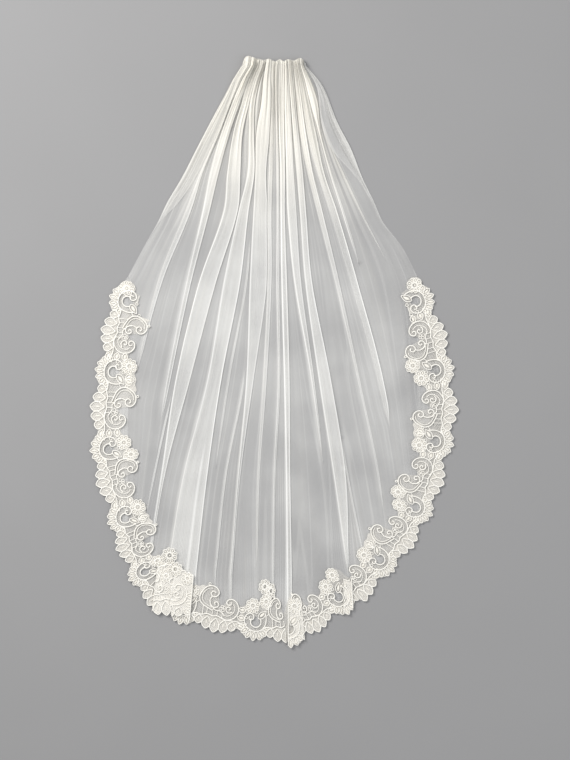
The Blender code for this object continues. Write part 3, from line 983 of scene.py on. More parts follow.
    def _roll_over(self, across: np.ndarray, height: np.ndarray) -> tuple[np.ndarray, np.ndarray, np.ndarray]:
        """Adds rows that carry every column up over the heading's back edge and down behind it.

        Args:
            across: across of each row and column.
            height: their height.

        Returns:
            Across, drop and height with the new rows first.
        """
        ends = across[0].min(), across[0].max()
        share = (across[0] - ends[0]) / (ends[1] - ends[0])
        rolled = HEADING_ENDS[0] + (HEADING_ENDS[1] - HEADING_ENDS[0]) * share
        near = self._until(42.0, 30.0)[:, None]
        across = across + (rolled - across[0]) * near * 0.7
        tall = height[0]
        back = heading_back(rolled)
        turns = np.radians(np.linspace(self.roll_from, self.roll_to, self.roll_rows))[:, None]
        reach = self.roll_reach * (0.7 + 0.3 * tall / tall.max())
        drop = back + reach * (1 + np.cos(turns))
        rise = self.floor + (tall - self.floor) * (1 + np.sin(turns)) / 2
        drops = np.broadcast_to(self.drops[:, None], across.shape)
        return np.vstack([rolled + 0 * turns, across]), np.vstack([drop, drops]), np.vstack([rise, height])

    def build(self, material: bpy.types.Material) -> bpy.types.Object:
        """Builds the sheet.

        Args:
            material: the tulle's finish.

        Returns:
            The sheet.
        """
        self._lay_columns()
        across, height, crease, layers = (
            np.stack([getattr(column, name) for column in self.columns], axis=1)
            for name in ("across", "height", "crease", "layers")
        )
        bunches = np.random.default_rng(self.seed).normal(size=(3, across.shape[1]))
        waves = np.stack([np.ones_like(self.drops), np.sin(self.drops / 41.0), np.sin(self.drops / 19.0)], axis=1)
        height = height + self.fine_gather * (self.gather[:, None] ** 2) * (waves @ bunches) * (height > 2.0)
        middle = int(np.argmin(np.abs(self.drops - self.middle_drop)))
        steps = np.hypot(np.diff(across[middle]), np.diff(height[middle]))
        around = np.concatenate(([0.0], np.cumsum(np.maximum(steps, 0.6)))) * MM
        LOG.info("tulle %.3f wide half-way down, folds and all", steps.sum() * MM)
        rolled = np.arange(-self.roll_rows, 0) * self.roll_step
        down = np.concatenate([rolled, self.drops - self.top]) * MM
        across, drop, height = self._roll_over(across, height)
        gather = np.concatenate([np.ones(self.roll_rows), self.gather])
        crease, layers = (
            np.vstack([np.repeat(values[:1], self.roll_rows, axis=0), values]) for values in (crease, layers)
        )
        places = self.plan.places(across, drop, height)
        tall, wide = across.shape
        shape = bmesh.new()
        bmesh.ops.create_grid(shape, x_segments=wide - 1, y_segments=tall - 1, size=0.5)
        uv = shape.loops.layers.uv.new("cloth")
        carried = {
            "layers": layers,
            "gather": gather[:, None] * np.asarray([column.gathered for column in self.columns]),
            "crease": crease,
        }
        marks = {name: shape.verts.layers.float.new(name) for name in carried}
        spots = {}
        for vert in shape.verts:
            column = round((vert.co.x + 0.5) * (wide - 1))
            row = round((0.5 - vert.co.y) * (tall - 1))
            vert.co = places[row, column]
            spots[vert] = around[column], down[row]
            for name, values in carried.items():
                vert[marks[name]] = values[row, column]
        for face in shape.faces:
            for loop in face.loops:
                loop[uv].uv = spots[loop.vert]
        bmesh.ops.remove_doubles(shape, verts=shape.verts[:], dist=self.merge_reach * MM)
        piece = finished(shape, "tulle_tier", material)
        nodes = ["tulle_panel", "side_fold_left", "side_fold_right"]
        nodes += [f"pleat_{index + 1:02d}" for index in range(len(PLEATS))]
        return dress(piece, Slot.TULLE, *nodes)


@dataclass
class Heading:
    """The stitched core of the heading: a roll of gathered tulle that the tier is turned over."""

    plan: Plan
    stations: int = 200
    section: int = 20
    gather_pitch: float = 4.1
    gather_depth: float = 0.07
    underside: float = 0.3
    height: float = 8.4
    inset: float = 3.0
    back_inset: float = 1.6

    def build(self, material: bpy.types.Material) -> bpy.types.Object:
        """Builds the roll.

        Args:
            material: the tulle's finish.

        Returns:
            The roll.
        """
        across = np.linspace(HEADING_ENDS[0] + self.inset, HEADING_ENDS[1] - self.inset, self.stations + 1)
        edge = np.minimum(across - across[0], across[-1] - across) / self.height
        fine = np.sin(across * 2 * math.pi / self.gather_pitch + 1.5 * np.sin(across / 7.0))
        height = self.height * (1 + self.gather_depth * fine)
        height = height * (0.35 + 0.65 * np.sin(np.clip(edge, 0, 1) * math.pi / 2))
        back = heading_back(across) + self.back_inset
        shape = bmesh.new()
        bmesh.ops.create_grid(shape, x_segments=self.stations, y_segments=self.section, size=0.5)
        for vert in shape.verts:
            station = round((vert.co.x + 0.5) * self.stations)
            turn = (vert.co.y + 0.5) * 2 * math.pi
            drop = back[station] + (HEADING_DEPTH - back[station]) * 0.5 * (1 - math.cos(turn))
            middle = (height[station] + self.underside) / 2
            vert.co = self.plan.places(across[station], drop, middle + (middle - self.underside) * math.sin(turn))
        bmesh.ops.remove_doubles(shape, verts=shape.verts[:], dist=0.00002)
        bmesh.ops.holes_fill(shape, edges=[edge for edge in shape.edges if edge.is_boundary], sides=0)
        bmesh.ops.recalc_face_normals(shape, faces=shape.faces[:])
        piece = finished(shape, "stitched_heading", material)
        count = len(piece.data.vertices)
        carry(piece.data, "layers", np.full(count, 9.0))
        carry(piece.data, "gather", np.ones(count))
        carry(piece.data, "crease", np.zeros(count))
        place = np.zeros(count * 3)
        piece.data.vertices.foreach_get("co", place)
        place = place.reshape(-1, 3)
        map_cloth(piece.data, np.stack([place[:, 0] * 4.0, place[:, 1] + place[:, 2]], axis=1))
        return dress(piece, Slot.TULLE, "gather_heading")


@dataclass(frozen=True)
class Mark:
    """A laid cord or a filled petal of the pattern: its points, and how thick it is or how far it stands up."""

    points: np.ndarray
    size: float

    def moved(self, along: float) -> "Mark":
        """The same mark further along."""
        return Mark(self.points + np.array([along, 0.0]), self.size)


@dataclass
class LacePattern:
    """One repeat of the corded lace: an eye in a scroll, flowers, a paisley, curls and a row of leaves."""

    eye: tuple[float, float] = (0.0, 29.0)
    eye_radius: float = 8.4
    cord: float = 0.95
    thread: float = 0.62
    cords: list[Mark] = field(default_factory=list)
    pads: list[Mark] = field(default_factory=list)

    # Petals fanned out round the eye
    FAN_START = 15.0
    FAN_WIDTH = 7.4
    FAN = (
        # angle, reach from the eye
        (203, 26.5), (225, 28), (247, 29), (269, 29.6), (291, 28.8), (312, 27), (333, 24),
    )
    # Leaves along the outer edge
    LEAVES = (
        # along, inset of the tip, length, width
        (25, 8, 14, 12.5), (37.5, 2.6, 19.5, 13.6), (50.5, -0.4, 22.5, 14), (63.5, 2, 20, 13.6),
        (76, 7.5, 14.5, 12.5),
    )
    # Filled leaves between the hooked scroll and the next eye: base, angle, length, width
    CELLS = (
        ((80.5, 43), 2, 12.5, 9), ((81.5, 31), -2, 12.5, 9), ((82, 19.5), -14, 13.5, 9.5),
    )
    SCROLL = ((15, 42), (16.6, 35), (16, 27), (12.5, 19.8), (6, 15.4), (-2, 14.4), (-9.5, 16.6),
              (-15.5, 22), (-18.4, 29.5), (-16.5, 37.4), (-10.6, 41), (-5.3, 38.5), (-4.7, 33.4),
              (-8.6, 30.8), (-12, 33), (-10.6, 36))
    PAISLEY_OUTER = ((42, 32), (34, 34.8), (27, 37.6), (21.5, 42.5), (19.2, 50), (21.8, 59.5),
                     (28, 67), (36.5, 69), (43.4, 66), (46.4, 60), (43.4, 54.2), (37.8, 53.4),
                     (34.8, 57.8), (38.4, 61.6), (41.4, 59.4))
    PAISLEY_INNER = ((40.4, 36), (34, 38.4), (28, 41.4), (24, 46.2), (22.9, 52), (25.2, 58.6),
                     (30, 64), (36.2, 65.4))
    PAISLEY_TOP = ((37.4, 53.2), (35.4, 47), (37.4, 41.2), (42, 36.6))
    SMALL_CURL = ((36, 45.5), (38, 39.6), (42.6, 37), (47.6, 38.4), (49.6, 42.8), (46.4, 46.4),
                  (42.8, 44.4), (44.6, 41.4))
    INNER_SPINE = ((42, 36.8), (46.5, 33.4), (52, 34), (57, 32), (62, 28.6))
    BASE_CORD = ((12, 19), (19, 23), (28, 22.4), (36, 25.4), (44, 23.8), (51, 25.6),
                 (58, 23.6), (66, 22.4), (74, 23.2), (83, 23.6), (91, 20.5))
    HOOK_OUTER = ((57, 24.6), (65, 22.6), (73, 25.2), (79, 30.6), (81.8, 38.4), (80.4, 46.6),
                  (75.6, 53), (68.6, 55.8), (62.4, 53.8), (60.6, 48.8), (64.4, 45.8), (68.4, 48.2),
                  (66.8, 51.2))
    HOOK_INNER = ((60, 28.6), (66.4, 29), (72, 33), (75.2, 39), (74.4, 45.2), (71.4, 48.4))
    HOOK_CURL = ((72.6, 36.4), (67.6, 34.2), (62.8, 36.4), (62.2, 41), (66, 43.2), (68.8, 40.4), (66.2, 38.6))
    BARS = (((42.6, 36.6), (43.4, 24.6)), ((50.4, 33.8), (50.6, 25.4)), ((58, 31.4), (58.4, 24.4)),
            ((27.4, 38.4), (29, 23)), ((34.6, 34.8), (35, 25)), ((20.4, 43.6), (16.4, 40)))
    DOTS = ((53.6, 37.6, 2.3), (57.8, 36, 2.2), (55.6, 41.6, 2), (58.6, 40.6, 1.8), (17.4, 52, 2),
            (-1, 44, 2.2), (96, 33, 2.2), (95.5, 43.5, 2.4))

    def _cord(self, line: np.ndarray, thick: float) -> None:
        """Adds one cord."""
        self.cords.append(Mark(line, thick))

    def _outline(self, outline: np.ndarray, thick: float) -> None:
        """Adds a cord all round a petal or leaf."""
        self._cord(flow(np.concatenate([outline, outline[:1]]), 1.8), thick)

    def _petal(self, base, angle: float, length: float, width: float, fill: float = 0.55) -> None:
        """Adds a petal with its outline, and close stitches over a share of its width."""
        self._outline(petal_outline(base, angle, length, width), self.thread * 1.15)
        if fill:
            foot = np.asarray(base) + way(angle) * length * 0.14
            self.pads.append(Mark(petal_outline(foot, angle, length * 0.72, width * fill), 0.35))

    def rosette(self, centre: tuple[float, float], radius: float, petals: int, turn: float) -> None:
        """Adds a flower: an open-hearted ring of petals round small beads.

        Args:
            centre: (along, inset) of its middle.
            radius: its reach.
            petals: how many petals it has.
            turn: where its first petal points, in degrees.
        """
        hub = radius * 0.36
        middle = np.asarray(centre)
        for k in range(petals):
            angle = turn + 360.0 * k / petals
            length = (radius - hub) * (1.0 + 0.07 * math.sin(3.0 * k))
            self._petal(middle + hub * way(angle), angle, length, 2 * math.pi * radius * 0.74 / petals, 0.4)
            spot = middle + hub * 0.62 * way(angle + 180.0 / petals)
            self._cord(np.stack([spot, spot + way(angle) * 0.9]), self.thread * 1.2)
        self._cord(ring(centre, hub), self.cord * 0.9)
        heart = middle + hub * 0.3 * np.stack([way(a) for a in np.linspace(0, 360, PETAL_POINTS, endpoint=False)])
        self.pads.append(Mark(heart, 0.7))

    def _eye_scroll(self) -> None:
        """Adds the ring and scroll round the open eye, and the fan of petals outside it."""
        self._cord(ring(self.eye, self.eye_radius, 150.0, 398.0), self.cord)
        self._cord(flow(self.SCROLL), self.cord)
        for angle, reach in self.FAN:
            foot = np.asarray(self.eye) + way(angle) * self.FAN_START
            self._petal(foot, angle, reach - self.FAN_START, self.FAN_WIDTH, 0.4)
        self._petal((15.4, 47.6), 226.0, 18.0, 9.6, 0.5)

    def _paisley(self) -> None:
        """Adds the paisley with its curled head."""
        self._cord(flow(self.PAISLEY_OUTER), self.cord)
        self._cord(flow(self.PAISLEY_INNER), self.thread)
        self._cord(flow(self.PAISLEY_TOP), self.cord * 0.9)
        self._petal((31.0, 68.4), 112.0, 5.0, 3.6, 0.0)

    def _curls(self) -> None:
        """Adds the small curl, the hooked scroll, the bars and dots between them, and the filled leaves."""
        for points, step, thick in (
            (self.SMALL_CURL, 1.3, self.cord),
            (self.INNER_SPINE, 1.6, self.cord * 0.9),
            (self.BASE_CORD, 1.6, self.cord),
            (self.HOOK_OUTER, 1.6, self.cord),
            (self.HOOK_INNER, 1.6, self.thread),
            (self.HOOK_CURL, 1.3, self.cord),
        ):
            self._cord(flow(points, step), thick)
        for start, end in self.BARS:
            self._cord(flow([start, end], 3.0), self.thread)
        for along, inset, radius in self.DOTS:
            self._cord(ring((along, inset), radius), self.thread * 0.9)
        for base, angle, length, width in self.CELLS:
            self._petal(base, angle, length, width, 0.45)

    def _leaf_row(self) -> None:
        """Adds the row of net-filled leaves along the outer edge."""
        for along, tip, length, width in self.LEAVES:
            base = (along, tip + length)
            self._outline(petal_outline(base, 270.0, length, width), self.cord * 0.9)
            self.pads.append(Mark(petal_outline((along, tip + length * 0.8), 270.0, length * 0.5, width * 0.16), 0.3))

    def repeat(self, two_flowers: bool | None) -> "LacePattern":
        """Draws one repeat.

        Args:
            two_flowers: True for two flowers, False for one flower and three leaves, and None for no flower.

        Returns:
            The pattern.
        """
        self._eye_scroll()
        self._paisley()
        self._curls()
        self._leaf_row()
        if two_flowers:
            self.rosette((-9.0, 53.0), 11.8, 8, 20.0)
            self.rosette((13.0, 62.5), 12.0, 9, 5.0)
        elif two_flowers is not None:
            self.rosette((-11.5, 52.0), 12.2, 9, 20.0)
            for angle, length in ((58.0, 13.0), (90.0, 15.0), (122.0, 12.5)):
                self._petal((8.0, 47.5), angle, length, 8.0, 0.5)
        return self


@dataclass
class LaceStretch:
    """A stretch of the edging: its net ground, its cords and its filled petals."""

    plan: Plan
    line: HemLine | FoldLine
    node: str
    first_along: float
    last_along: float
    height: float = 1.9
    ground_step: float = 2.4
    cord_lift: float = 0.5
    cuts: tuple = ()
    top_inset: tuple[float, float] | None = None
    net_reach: tuple[float, float] = (0.0, 0.0)
    held: Held = Held.LAID
    creased: int | None = None
    flowers: LacePattern = field(default_factory=LacePattern)

    # Inner edge of the net ground over one repeat
    INNER_EDGE = (
        # along, inset
        (0, 61), (4, 67), (9, 73), (14, 74.5), (20, 72.5), (25, 68), (31, 69.5),
        (37, 70), (42, 67), (46, 61.5), (48.5, 51), (51, 44), (55, 43), (58, 46),
        (60.5, 53), (63, 55.5), (69, 56.8), (75, 54.5), (80, 49.5), (85, 48), (90, 51),
        (94, 58.5), (99, 64), (103, 65), (108, 62.5), (112, 61),
    )
    # Along, inset and reach of the flowers and of the filled leaves by the eye
    CLOSE_SPOTS = ((-9, 53, 12), (13, 61, 12.5), (-25, 44, 7.5), (-24.5, 31, 6.5), (-25, 18, 7))
    EDGING_WIDTH = 0.068
    SINGLE_FLOWER_DIP = 10
    TIP_DEPTH = 4
    LOBE = 8
    LOBE_DEPTH = 2.6
    EYE = (0, 29)
    EYE_OPEN = 8.4
    END_FLOWER_REACH = 13
    END_INSET = 22
    # Along of the flower at each end, which way the lace runs from it, and how far its eye's bare net reaches
    END_FLOWERS = ((-20, 1, 38), (LAST_EYE * LACE_REPEAT + 23, -1, 50))
    # Inset of the net's inner edge beside an end flower, and how far past the flower's middle it rounds it off
    END_NET_INSET = 45
    END_ROUNDING = 3
    # (along, inset) of the net's other points on its outer edge, between the leaves and the petals
    OUTER_POINTS = ((84, 12), (15.5, 13))
    OUTLINE_GAP = 1
    NOTCH_SPAN = 6

    @property
    def hidden(self) -> list[tuple[float, float]]:
        """Parts of the pattern that folds hide, along where each starts and ends; none on a folded piece."""
        return [] if self.cuts else [part[:2] for part in HIDDEN_PARTS]

    def _tips(self) -> np.ndarray:
        """(along, inset) of each petal's and leaf's tip on the outer edge of one repeat."""
        tips = [tuple(np.asarray(self.EYE) + reach * way(angle)) for angle, reach in LacePattern.FAN]
        tips += [(along, tip) for along, tip, _, _ in LacePattern.LEAVES]
        return np.asarray(tips + list(self.OUTER_POINTS))

    def _outer_edge(self, along: np.ndarray) -> np.ndarray:
        """Inset of the net's outer edge, notched between the tips."""
        tips = self._tips()
        phase = np.mod(along + LACE_REPEAT / 4, LACE_REPEAT) - LACE_REPEAT / 4
        gaps = np.abs(phase[:, None] - tips[None, :, 0])
        gaps = np.minimum(gaps, np.abs(gaps - LACE_REPEAT))
        return (tips[None, :, 1] + self.OUTLINE_GAP + self.TIP_DEPTH * (gaps / self.NOTCH_SPAN) ** 1.4).min(axis=1)

    def _edges(self, along: np.ndarray) -> tuple[np.ndarray, np.ndarray]:
        """Inset of the net's outer and inner edge at each place, rounded off at the ends of the edging."""
        outer = self._outer_edge(along)
        if self.top_inset is not None:
            start, end = self.top_inset
            share = (along - self.first_along) / (self.last_along - self.first_along)
            lobes = self.LOBE_DEPTH * (np.abs(np.sin(math.pi * along / self.LOBE)) - 1.0)
            return outer, start + (end - start) * share + lobes
        table = np.asarray(self.INNER_EDGE)
        inner = smooth_curve(table[:, 0], table[:, 1], np.mod(along, LACE_REPEAT))
        single = np.mod(np.floor(along / LACE_REPEAT), 2) == 1
        inner = inner - single * self.SINGLE_FLOWER_DIP * np.exp(-(((np.mod(along, LACE_REPEAT) - 13.0) / 8.0) ** 2))
        if self.cuts:
            return outer, inner
        for flower, inwards, bare in self.END_FLOWERS:
            past = (along - flower) * inwards
            reach = np.sqrt(np.clip(1 - (past / self.END_FLOWER_REACH) ** 2, 0.0, 1.0)) * self.END_FLOWER_REACH
            inner = np.where(past < bare, np.minimum(inner, self.END_NET_INSET), inner)
            inner = np.where(past < self.END_ROUNDING, self.END_INSET + reach, inner)
            outer = np.where(past < 0.0, self.END_INSET - reach, outer)
        return outer, inner

    def _cut(self, shape: bmesh.types.BMesh, close: bool = True) -> None:
        """Cuts a folded piece along its lines.

        Args:
            shape: the piece.
            close: True to close the cut ends of a solid shape.
        """
        for side, (start, end) in zip((-1.0, 1.0), self.cuts):
            first = Vector(self.plan.places(start[0], start[1], 0.0))
            last = Vector(self.plan.places(end[0], end[1], 0.0))
            along = last - first
            normal = Vector((-along.y, along.x, 0.0)).normalized() * side
            cut = bmesh.ops.bisect_plane(
                shape, geom=shape.verts[:] + shape.edges[:] + shape.faces[:], plane_co=first, plane_no=normal,
                clear_outer=True,
            )["geom_cut"]
            if close:
                rims = [item for item in cut if isinstance(item, bmesh.types.BMEdge)]
                bmesh.ops.holes_fill(shape, edges=rims, sides=0)

    def ground(self, material: bpy.types.Material) -> bpy.types.Object:
        """Builds the net ground with its open eyes.

        Args:
            material: the net's finish.

        Returns:
            The net.
        """
        first, last = self.first_along + self.net_reach[0], self.last_along + self.net_reach[1]
        along = np.linspace(first, last, max(round((last - first) / self.ground_step), 4) + 1)
        for start, end in self.hidden:
            covered = (along > start) & (along < end)
            along = np.unique(np.where(covered, np.where(along < (start + end) / 2, start, end), along))
        steps = len(along) - 1
        outer, inner = self._edges(along)
        rows = math.ceil(float((inner - outer).max()) / self.ground_step)
        shape = bmesh.new()
        bmesh.ops.create_grid(shape, x_segments=steps, y_segments=rows, size=0.5)
        uv = shape.loops.layers.uv.new("cloth")
        close = shape.verts.layers.float.new("close")
        spots = {}
        inside = []
        for vert in shape.verts:
            station = round((vert.co.x + 0.5) * steps)
            share = vert.co.y + 0.5
            spot = np.array([along[station], outer[station] + (inner[station] - outer[station]) * share])
            centre = np.array([round(spot[0] / LACE_REPEAT) * LACE_REPEAT, self.EYE[1]])
            away = float(np.linalg.norm(spot - centre))
            if away < self.EYE_OPEN:
                inside.append(vert)
            elif away < self.EYE_OPEN + 1.3 * self.ground_step:
                spot = centre + (spot - centre) * (self.EYE_OPEN / away)
            spots[vert] = spot
        bmesh.ops.delete(shape, geom=inside, context="VERTS")
        for face in shape.faces:
            for loop in face.loops:
                loop[uv].uv = spots[loop.vert] * MM
        kept = shape.verts[:]
        flat = np.asarray([spots[vert] for vert in kept])
        across, drop = self.line.lay(flat[:, 0], flat[:, 1])
        for vert, place in zip(kept, self.plan.places(across, drop, self.height)):
            vert.co = place
        for vert, share in zip(kept, self._closeness(flat)):
            vert[close] = share
        self._cut(shape, close=False)
        piece = finished(shape, f"{self.node}_net", material)
        return dress(piece, Slot.LACE, self.node)

    def _closeness(self, spots: np.ndarray) -> np.ndarray:
        """How closely the net is worked at each spot: most behind the leaves, the petals and the flowers."""
        phase = np.mod(spots[:, 0] + LACE_REPEAT / 4, LACE_REPEAT) - LACE_REPEAT / 4
        from_eye = np.hypot(phase - self.EYE[0], spots[:, 1] - self.EYE[1])
        leaves = ease((23.5 - spots[:, 1]) / 3.0) * ease((phase - 16.0) / 4.0)
        fan = ease((from_eye - 13.5) / 2.5) * ease((27.0 - spots[:, 1]) / 6.0)
        filled = np.maximum(leaves, fan)
        for centre, inset, reach in self.CLOSE_SPOTS:
            near = np.hypot(phase - centre, spots[:, 1] - inset)
            filled = np.maximum(filled, ease((reach + 1.5 - near) / 3.0))
        return filled

    def _shown(self, kind: str) -> list[Mark]:
        """What this stretch shows of one kind of mark, in place along the hem.

        Args:
            kind: "cords" or "pads".

        Returns:
            The marks whose middle lies on this stretch and that no fold hides, and those of its own flowers.
        """
        patterns = {two: LacePattern().repeat(two) for two in (False, True, None)}
        first = math.floor(self.first_along / LACE_REPEAT) - 1
        last = math.ceil(self.last_along / LACE_REPEAT) + 1
        bare = ()
        if not self.cuts:
            first, last, bare = max(first, 0), min(last, LAST_EYE), (0, LAST_EYE)
        found = []
        for k in range(first, last + 1):
            pattern = patterns[None if k in bare else k % 2 == 0]
            for mark in getattr(pattern, kind):
                moved = mark.moved(k * LACE_REPEAT)
                middle = float(moved.points[:, 0].mean())
                covered = any(start < middle < end for start, end in self.hidden)
                if self.first_along <= middle < self.last_along and not covered:
                    found.append(moved)
        return found + getattr(self.flowers, kind)

    def cords(self, material: bpy.types.Material) -> bpy.types.Object:
        """Builds the laid cords as curves with a round section, then as one mesh.

        Args:
            material: the cord's finish.

        Returns:
            The cords.
        """
        curve = bpy.data.curves.new(f"{self.node}_cords", "CURVE")
        curve.dimensions = "3D"
        curve.bevel_depth = MM
        curve.bevel_resolution = 1
        curve.use_fill_caps = True
        shown_cords = self._shown("cords")
        if self.top_inset is not None:
            along = np.arange(self.first_along, self.last_along, 1.0)
            shown_cords.append(Mark(np.stack([along, self._edges(along)[1] - 0.5], axis=1), LacePattern.cord))
        if self.creased is not None:
            shown_cords.append(self._crease_cord())
        for cord in shown_cords:
            moved = cord.points
            for start, end in self.hidden:
                moved = moved[(moved[:, 0] <= start) | (moved[:, 0] >= end)]
            if len(moved) < 2:
                continue
            across, drop = self.line.lay(moved[:, 0], moved[:, 1])
            rise = self.height + self.cord_lift * (0.6 + cord.size)
            wander = 0.12 * np.sin(moved[:, 0] * 0.9) * np.cos(moved[:, 1] * 0.7)
            places = self.plan.places(across, drop, rise + wander)
            spline = curve.splines.new("POLY")
            spline.points.add(len(places) - 1)
            spline.points.foreach_set("co", np.concatenate([places, np.ones((len(places), 1))], axis=1).ravel())
            spline.points.foreach_set("radius", np.full(len(places), cord.size))
        holder = bpy.data.objects.new(curve.name, curve)
        bpy.context.scene.collection.objects.link(holder)
        solid = bpy.data.meshes.new_from_object(holder.evaluated_get(bpy.context.evaluated_depsgraph_get()))
        bpy.data.objects.remove(holder, do_unlink=True)
        bpy.data.curves.remove(curve)
        if self.cuts:
            shape = bmesh.new()
            shape.from_mesh(solid)
            self._cut(shape)
            shape.to_mesh(solid)
            shape.free()
        return dress(shown(solid, f"{self.node}_cords", material), Slot.LACE)

    def _crease_cord(self) -> Mark:
        """The bright line along the cut line that is the fold itself, just inside it."""
        start, end = (np.asarray(point) for point in self.cuts[self.creased])
        inwards = 0.7 if self.creased == 0 else -0.7
        places = start + (end - start) * np.linspace(0.0, 1.0, 60)[:, None] + np.array([inwards, 0.0])
        spots = self.line.find(places)
        outer, inner = self._edges(spots[:, 0])
        return Mark(spots[(spots[:, 1] > outer) & (spots[:, 1] < inner)], LacePattern.cord)

    @staticmethod
    def _unit_pad() -> bpy.types.Mesh:
        """A low cushion over the unit circle: flat below, with an upright edge and a crowned top."""
        shape = bmesh.new()
        bmesh.ops.create_circle(shape, cap_ends=True, segments=PETAL_POINTS, radius=1.0)
        grown = bmesh.ops.extrude_face_region(shape, geom=shape.faces[:])["geom"]
        raised = [item for item in grown if isinstance(item, bmesh.types.BMVert)]
        bmesh.ops.translate(shape, verts=raised, vec=(0.0, 0.0, 0.4))
        lid = max(shape.faces, key=lambda face: face.calc_center_median().z)
        bmesh.ops.inset_region(shape, faces=[lid], thickness=0.4, depth=0.0)
        for vert in lid.verts:
            vert.co.z = 0.85
        middle = bmesh.ops.poke(shape, faces=[lid])["verts"][0]
        middle.co.z = 1.0
        bmesh.ops.recalc_face_normals(shape, faces=shape.faces[:])
        mesh = bpy.data.meshes.new("unit_pad")
        shape.to_mesh(mesh)
        shape.free()
        return mesh

    def petals(self, material: bpy.types.Material) -> bpy.types.Object:
        """Builds the filled petals and leaves.

        Args:
            material: the stitches' finish.

        Returns:
            The petals.
        """
        pad_mesh = self._unit_pad()
        unit = np.zeros(len(pad_mesh.vertices) * 3)
        pad_mesh.vertices.foreach_get("co", unit)
        unit = unit.reshape(-1, 3)
        reach = np.linalg.norm(unit[:, :2], axis=1)
        turn = np.mod(np.arctan2(unit[:, 1], unit[:, 0]), 2 * math.pi) / (2 * math.pi) * PETAL_POINTS
        corner = np.round(turn).astype(int) % PETAL_POINTS
        shape = bmesh.new()
        for pad in self._shown("pads"):
            outline = pad.points
            centre = outline.mean(axis=0)
            spots = centre + (outline[corner] - centre) * (reach * 0.94)[:, None]
            across, drop = self.line.lay(spots[:, 0], spots[:, 1])
            places = self.plan.places(across, drop, self.height + 0.1 + unit[:, 2] * (0.35 + pad.size))
            pad_mesh.vertices.foreach_set("co", places.ravel())
            shape.from_mesh(pad_mesh)
        bmesh.ops.recalc_face_normals(shape, faces=shape.faces[:])
        self._cut(shape)
        bpy.data.meshes.remove(pad_mesh)
        return dress(finished(shape, f"{self.node}_petals", material), Slot.LACE)

    def _flat_size(self, net: bpy.types.Object, area: float) -> tuple[float, float]:
        """Width and length that the net is cut to.

        Args:
            net: the net.
            area: its area, in square metres.

        Returns:
            The edging's width and its run along the hem, or the spread of a folded piece, in metres.
        """
        if not self.cuts:
            ends = self.first_along + self.net_reach[0], self.last_along + self.net_reach[1]
            return self.EDGING_WIDTH, float(np.ptp(self.line.run_at(ends))) * MM
        places = np.asarray([vert.co[:2] for vert in net.data.vertices])
        short, long = sorted(float(side) for side in np.ptp(places, axis=0))
        return max(short, area / long), long

    def build(self, finishes: dict[str, bpy.types.Material]) -> list[bpy.types.Object]:
        """Builds the stretch and works out the flat size of its net.

        Args:
            finishes: the net's, cord's and petals' materials.

        Returns:
            The net, the cords and the petals.
        """
        net = self.ground(finishes["net"])
        cords = self.cords(finishes["cord"])
        petals = self.petals(finishes["petal"])
        area = sum(face.area for face in net.data.polygons)
        wide, long = self._flat_size(net, area)
        min(area, wide * long)
        return [net, cords, petals]


@dataclass
class LaceEdging:
    """The corded lace edging, all round the hem, with the pieces of it that lie folded over."""

    plan: Plan
    hem: HemLine

    @staticmethod
    def _flowers(node: str) -> LacePattern:
        """The flowers of its own that a stretch or folded piece has."""
        flowers = LacePattern()
        for along, inset, reach, petals in LONE_FLOWERS.get(node, ()):
            flowers.rosette((along, inset), reach, petals, FLOWER_TURN)
        return flowers

    def build(self, finishes: dict[str, bpy.types.Material]) -> list[bpy.types.Object]:
        """Builds every stretch and every folded piece.

        Args:
            finishes: the net's, folded net's, cord's and petals' materials.

        Returns:
            All the lace's pieces.
        """
        pieces = []
        for node, start, stop, *reach in LACE_STRETCHES:
            stretch = LaceStretch(
                self.plan, self.hem, node, start, stop, net_reach=tuple(reach), flowers=self._flowers(node)
            )
            pieces += stretch.build(finishes)
        folded = dict(finishes, net=finishes["folded_net"])
        for node, height, start, end, along, left, right, top, creased in LACE_FOLDS:
            line = FoldLine(start, end, along)
            piece = LaceStretch(
                self.plan, line, node, along, along + line.length, height=height, cuts=(left, right), top_inset=top,
                held=Held.FOLDED, creased=creased, flowers=self._flowers(node),
            )
            pieces += piece.build(folded)
        return pieces


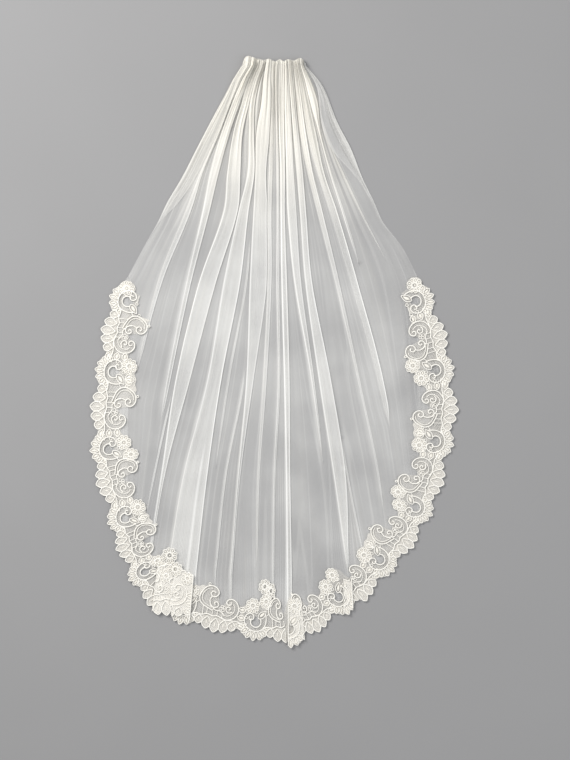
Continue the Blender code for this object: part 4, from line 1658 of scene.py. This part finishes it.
@dataclass
class Studio:
    """The floor, the lights and the camera above the veil."""

    plan: Plan
    picture: tuple[int, int] = (570, 760)
    millimetres_a_pixel: float = 1.55
    heading_pixel: tuple[float, float] = (274.0, 56.5)
    camera_height: float = 2.4
    sensor: float = 36.0
    floor_side: float = 8.0
    floor_gap: float = 0.0002

    # Soft square lights: name, place, side, power, colour
    LIGHTS = (
        ("key", (-1.4, 1.2, 1.8), 1.2, 62.0, (1.0, 0.985, 0.965)),
        ("fill", (1.7, -0.5, 1.9), 1.8, 20.0, (0.965, 0.98, 1.0)),
    )
    ROOM_LIGHT = 0.5
    SEEN_THROUGH = 48

    def _floor(self) -> bpy.types.Object:
        """Builds the floor, just below the veil and well past the view."""
        shape = bmesh.new()
        bmesh.ops.create_grid(shape, x_segments=8, y_segments=8, size=self.floor_side / 2)
        bmesh.ops.translate(shape, verts=shape.verts[:], vec=(0.0, 0.0, -self.floor_gap))
        floor = finished(shape, "floor", FloorFinish().make())
        return floor

    def _light(self, name: str, place: tuple, side: float, power: float, colour: tuple) -> None:
        """Hangs one soft square light that faces the veil."""
        lamp = bpy.data.lights.new(name, "AREA")
        lamp.shape = "SQUARE"
        lamp.size, lamp.energy, lamp.color = side, power, colour
        hung = bpy.data.objects.new(name, lamp)
        hung.location = place
        hung.rotation_euler = (-Vector(place)).to_track_quat("-Z", "Y").to_euler()
        bpy.context.scene.collection.objects.link(hung)

    def _camera(self) -> None:
        """Puts the camera straight above the middle of the photograph."""
        wide, tall = self.picture
        across = (wide / 2 - self.heading_pixel[0]) * self.millimetres_a_pixel
        drop = (tall / 2 - self.heading_pixel[1]) * self.millimetres_a_pixel
        spot = self.plan.places(across, drop, 0.0)
        camera = bpy.data.cameras.new("camera")
        camera.sensor_fit = "AUTO"
        camera.sensor_width = self.sensor
        camera.lens = self.sensor * self.camera_height / (tall * self.millimetres_a_pixel * MM)
        holder = bpy.data.objects.new("camera", camera)
        holder.location = (float(spot[0]), float(spot[1]), self.camera_height)
        bpy.context.scene.collection.objects.link(holder)
        bpy.context.scene.camera = holder

    def build(self) -> None:
        """Sets up the whole studio."""
        scene = bpy.context.scene
        self._floor()
        self._camera()
        for light in self.LIGHTS:
            self._light(*light)
        world = bpy.data.worlds.new("soft_room")
        world.use_nodes = True
        air = world.node_tree.nodes["Background"].inputs
        air["Color"].default_value = (1.0, 1.0, 1.0, 1.0)
        air["Strength"].default_value = self.ROOM_LIGHT
        scene.world = world
        scene.cycles.transparent_max_bounces = self.SEEN_THROUGH
        scene.view_settings.view_transform = "Standard"
        scene.view_settings.look = "None"


def main() -> None:
    """Builds the veil's looks and the studio, and reports each piece."""
    logging.basicConfig(level=logging.INFO, format="%(message)s")
    plan, hem = Plan(), HemLine()
    studio = Studio(plan)
    studio.build()
    tulle_finish = TulleFinish().make()
    folded_net = LaceNetFinish("folded_lace_net", (0.92, 0.905, 0.86, 1.0), open_cover=0.6, thread_cover=0.92)
    satin_stitch = ThreadFinish("lace_satin_stitch", (0.88, 0.86, 0.8, 1.0), (0.8, 0.77, 0.7, 1.0), stitch=0.0011)
    finishes = {
        "net": LaceNetFinish("lace_net").make(),
        "folded_net": folded_net.make(),
        "cord": ThreadFinish("lace_cord").make(),
        "petal": satin_stitch.make(),
    }
    tulle = Tulle(plan, hem)
    sheet = tulle.build(tulle_finish)
    heading = Heading(plan).build(tulle_finish)
    area = sum(face.area for face in sheet.data.polygons)
    LOG.info("tulle area %.3f", area)
    lace = LaceEdging(plan, hem).build(finishes)
    LOG.info("%d pieces of lace", len(lace))


if __name__ == "__main__":
    main()
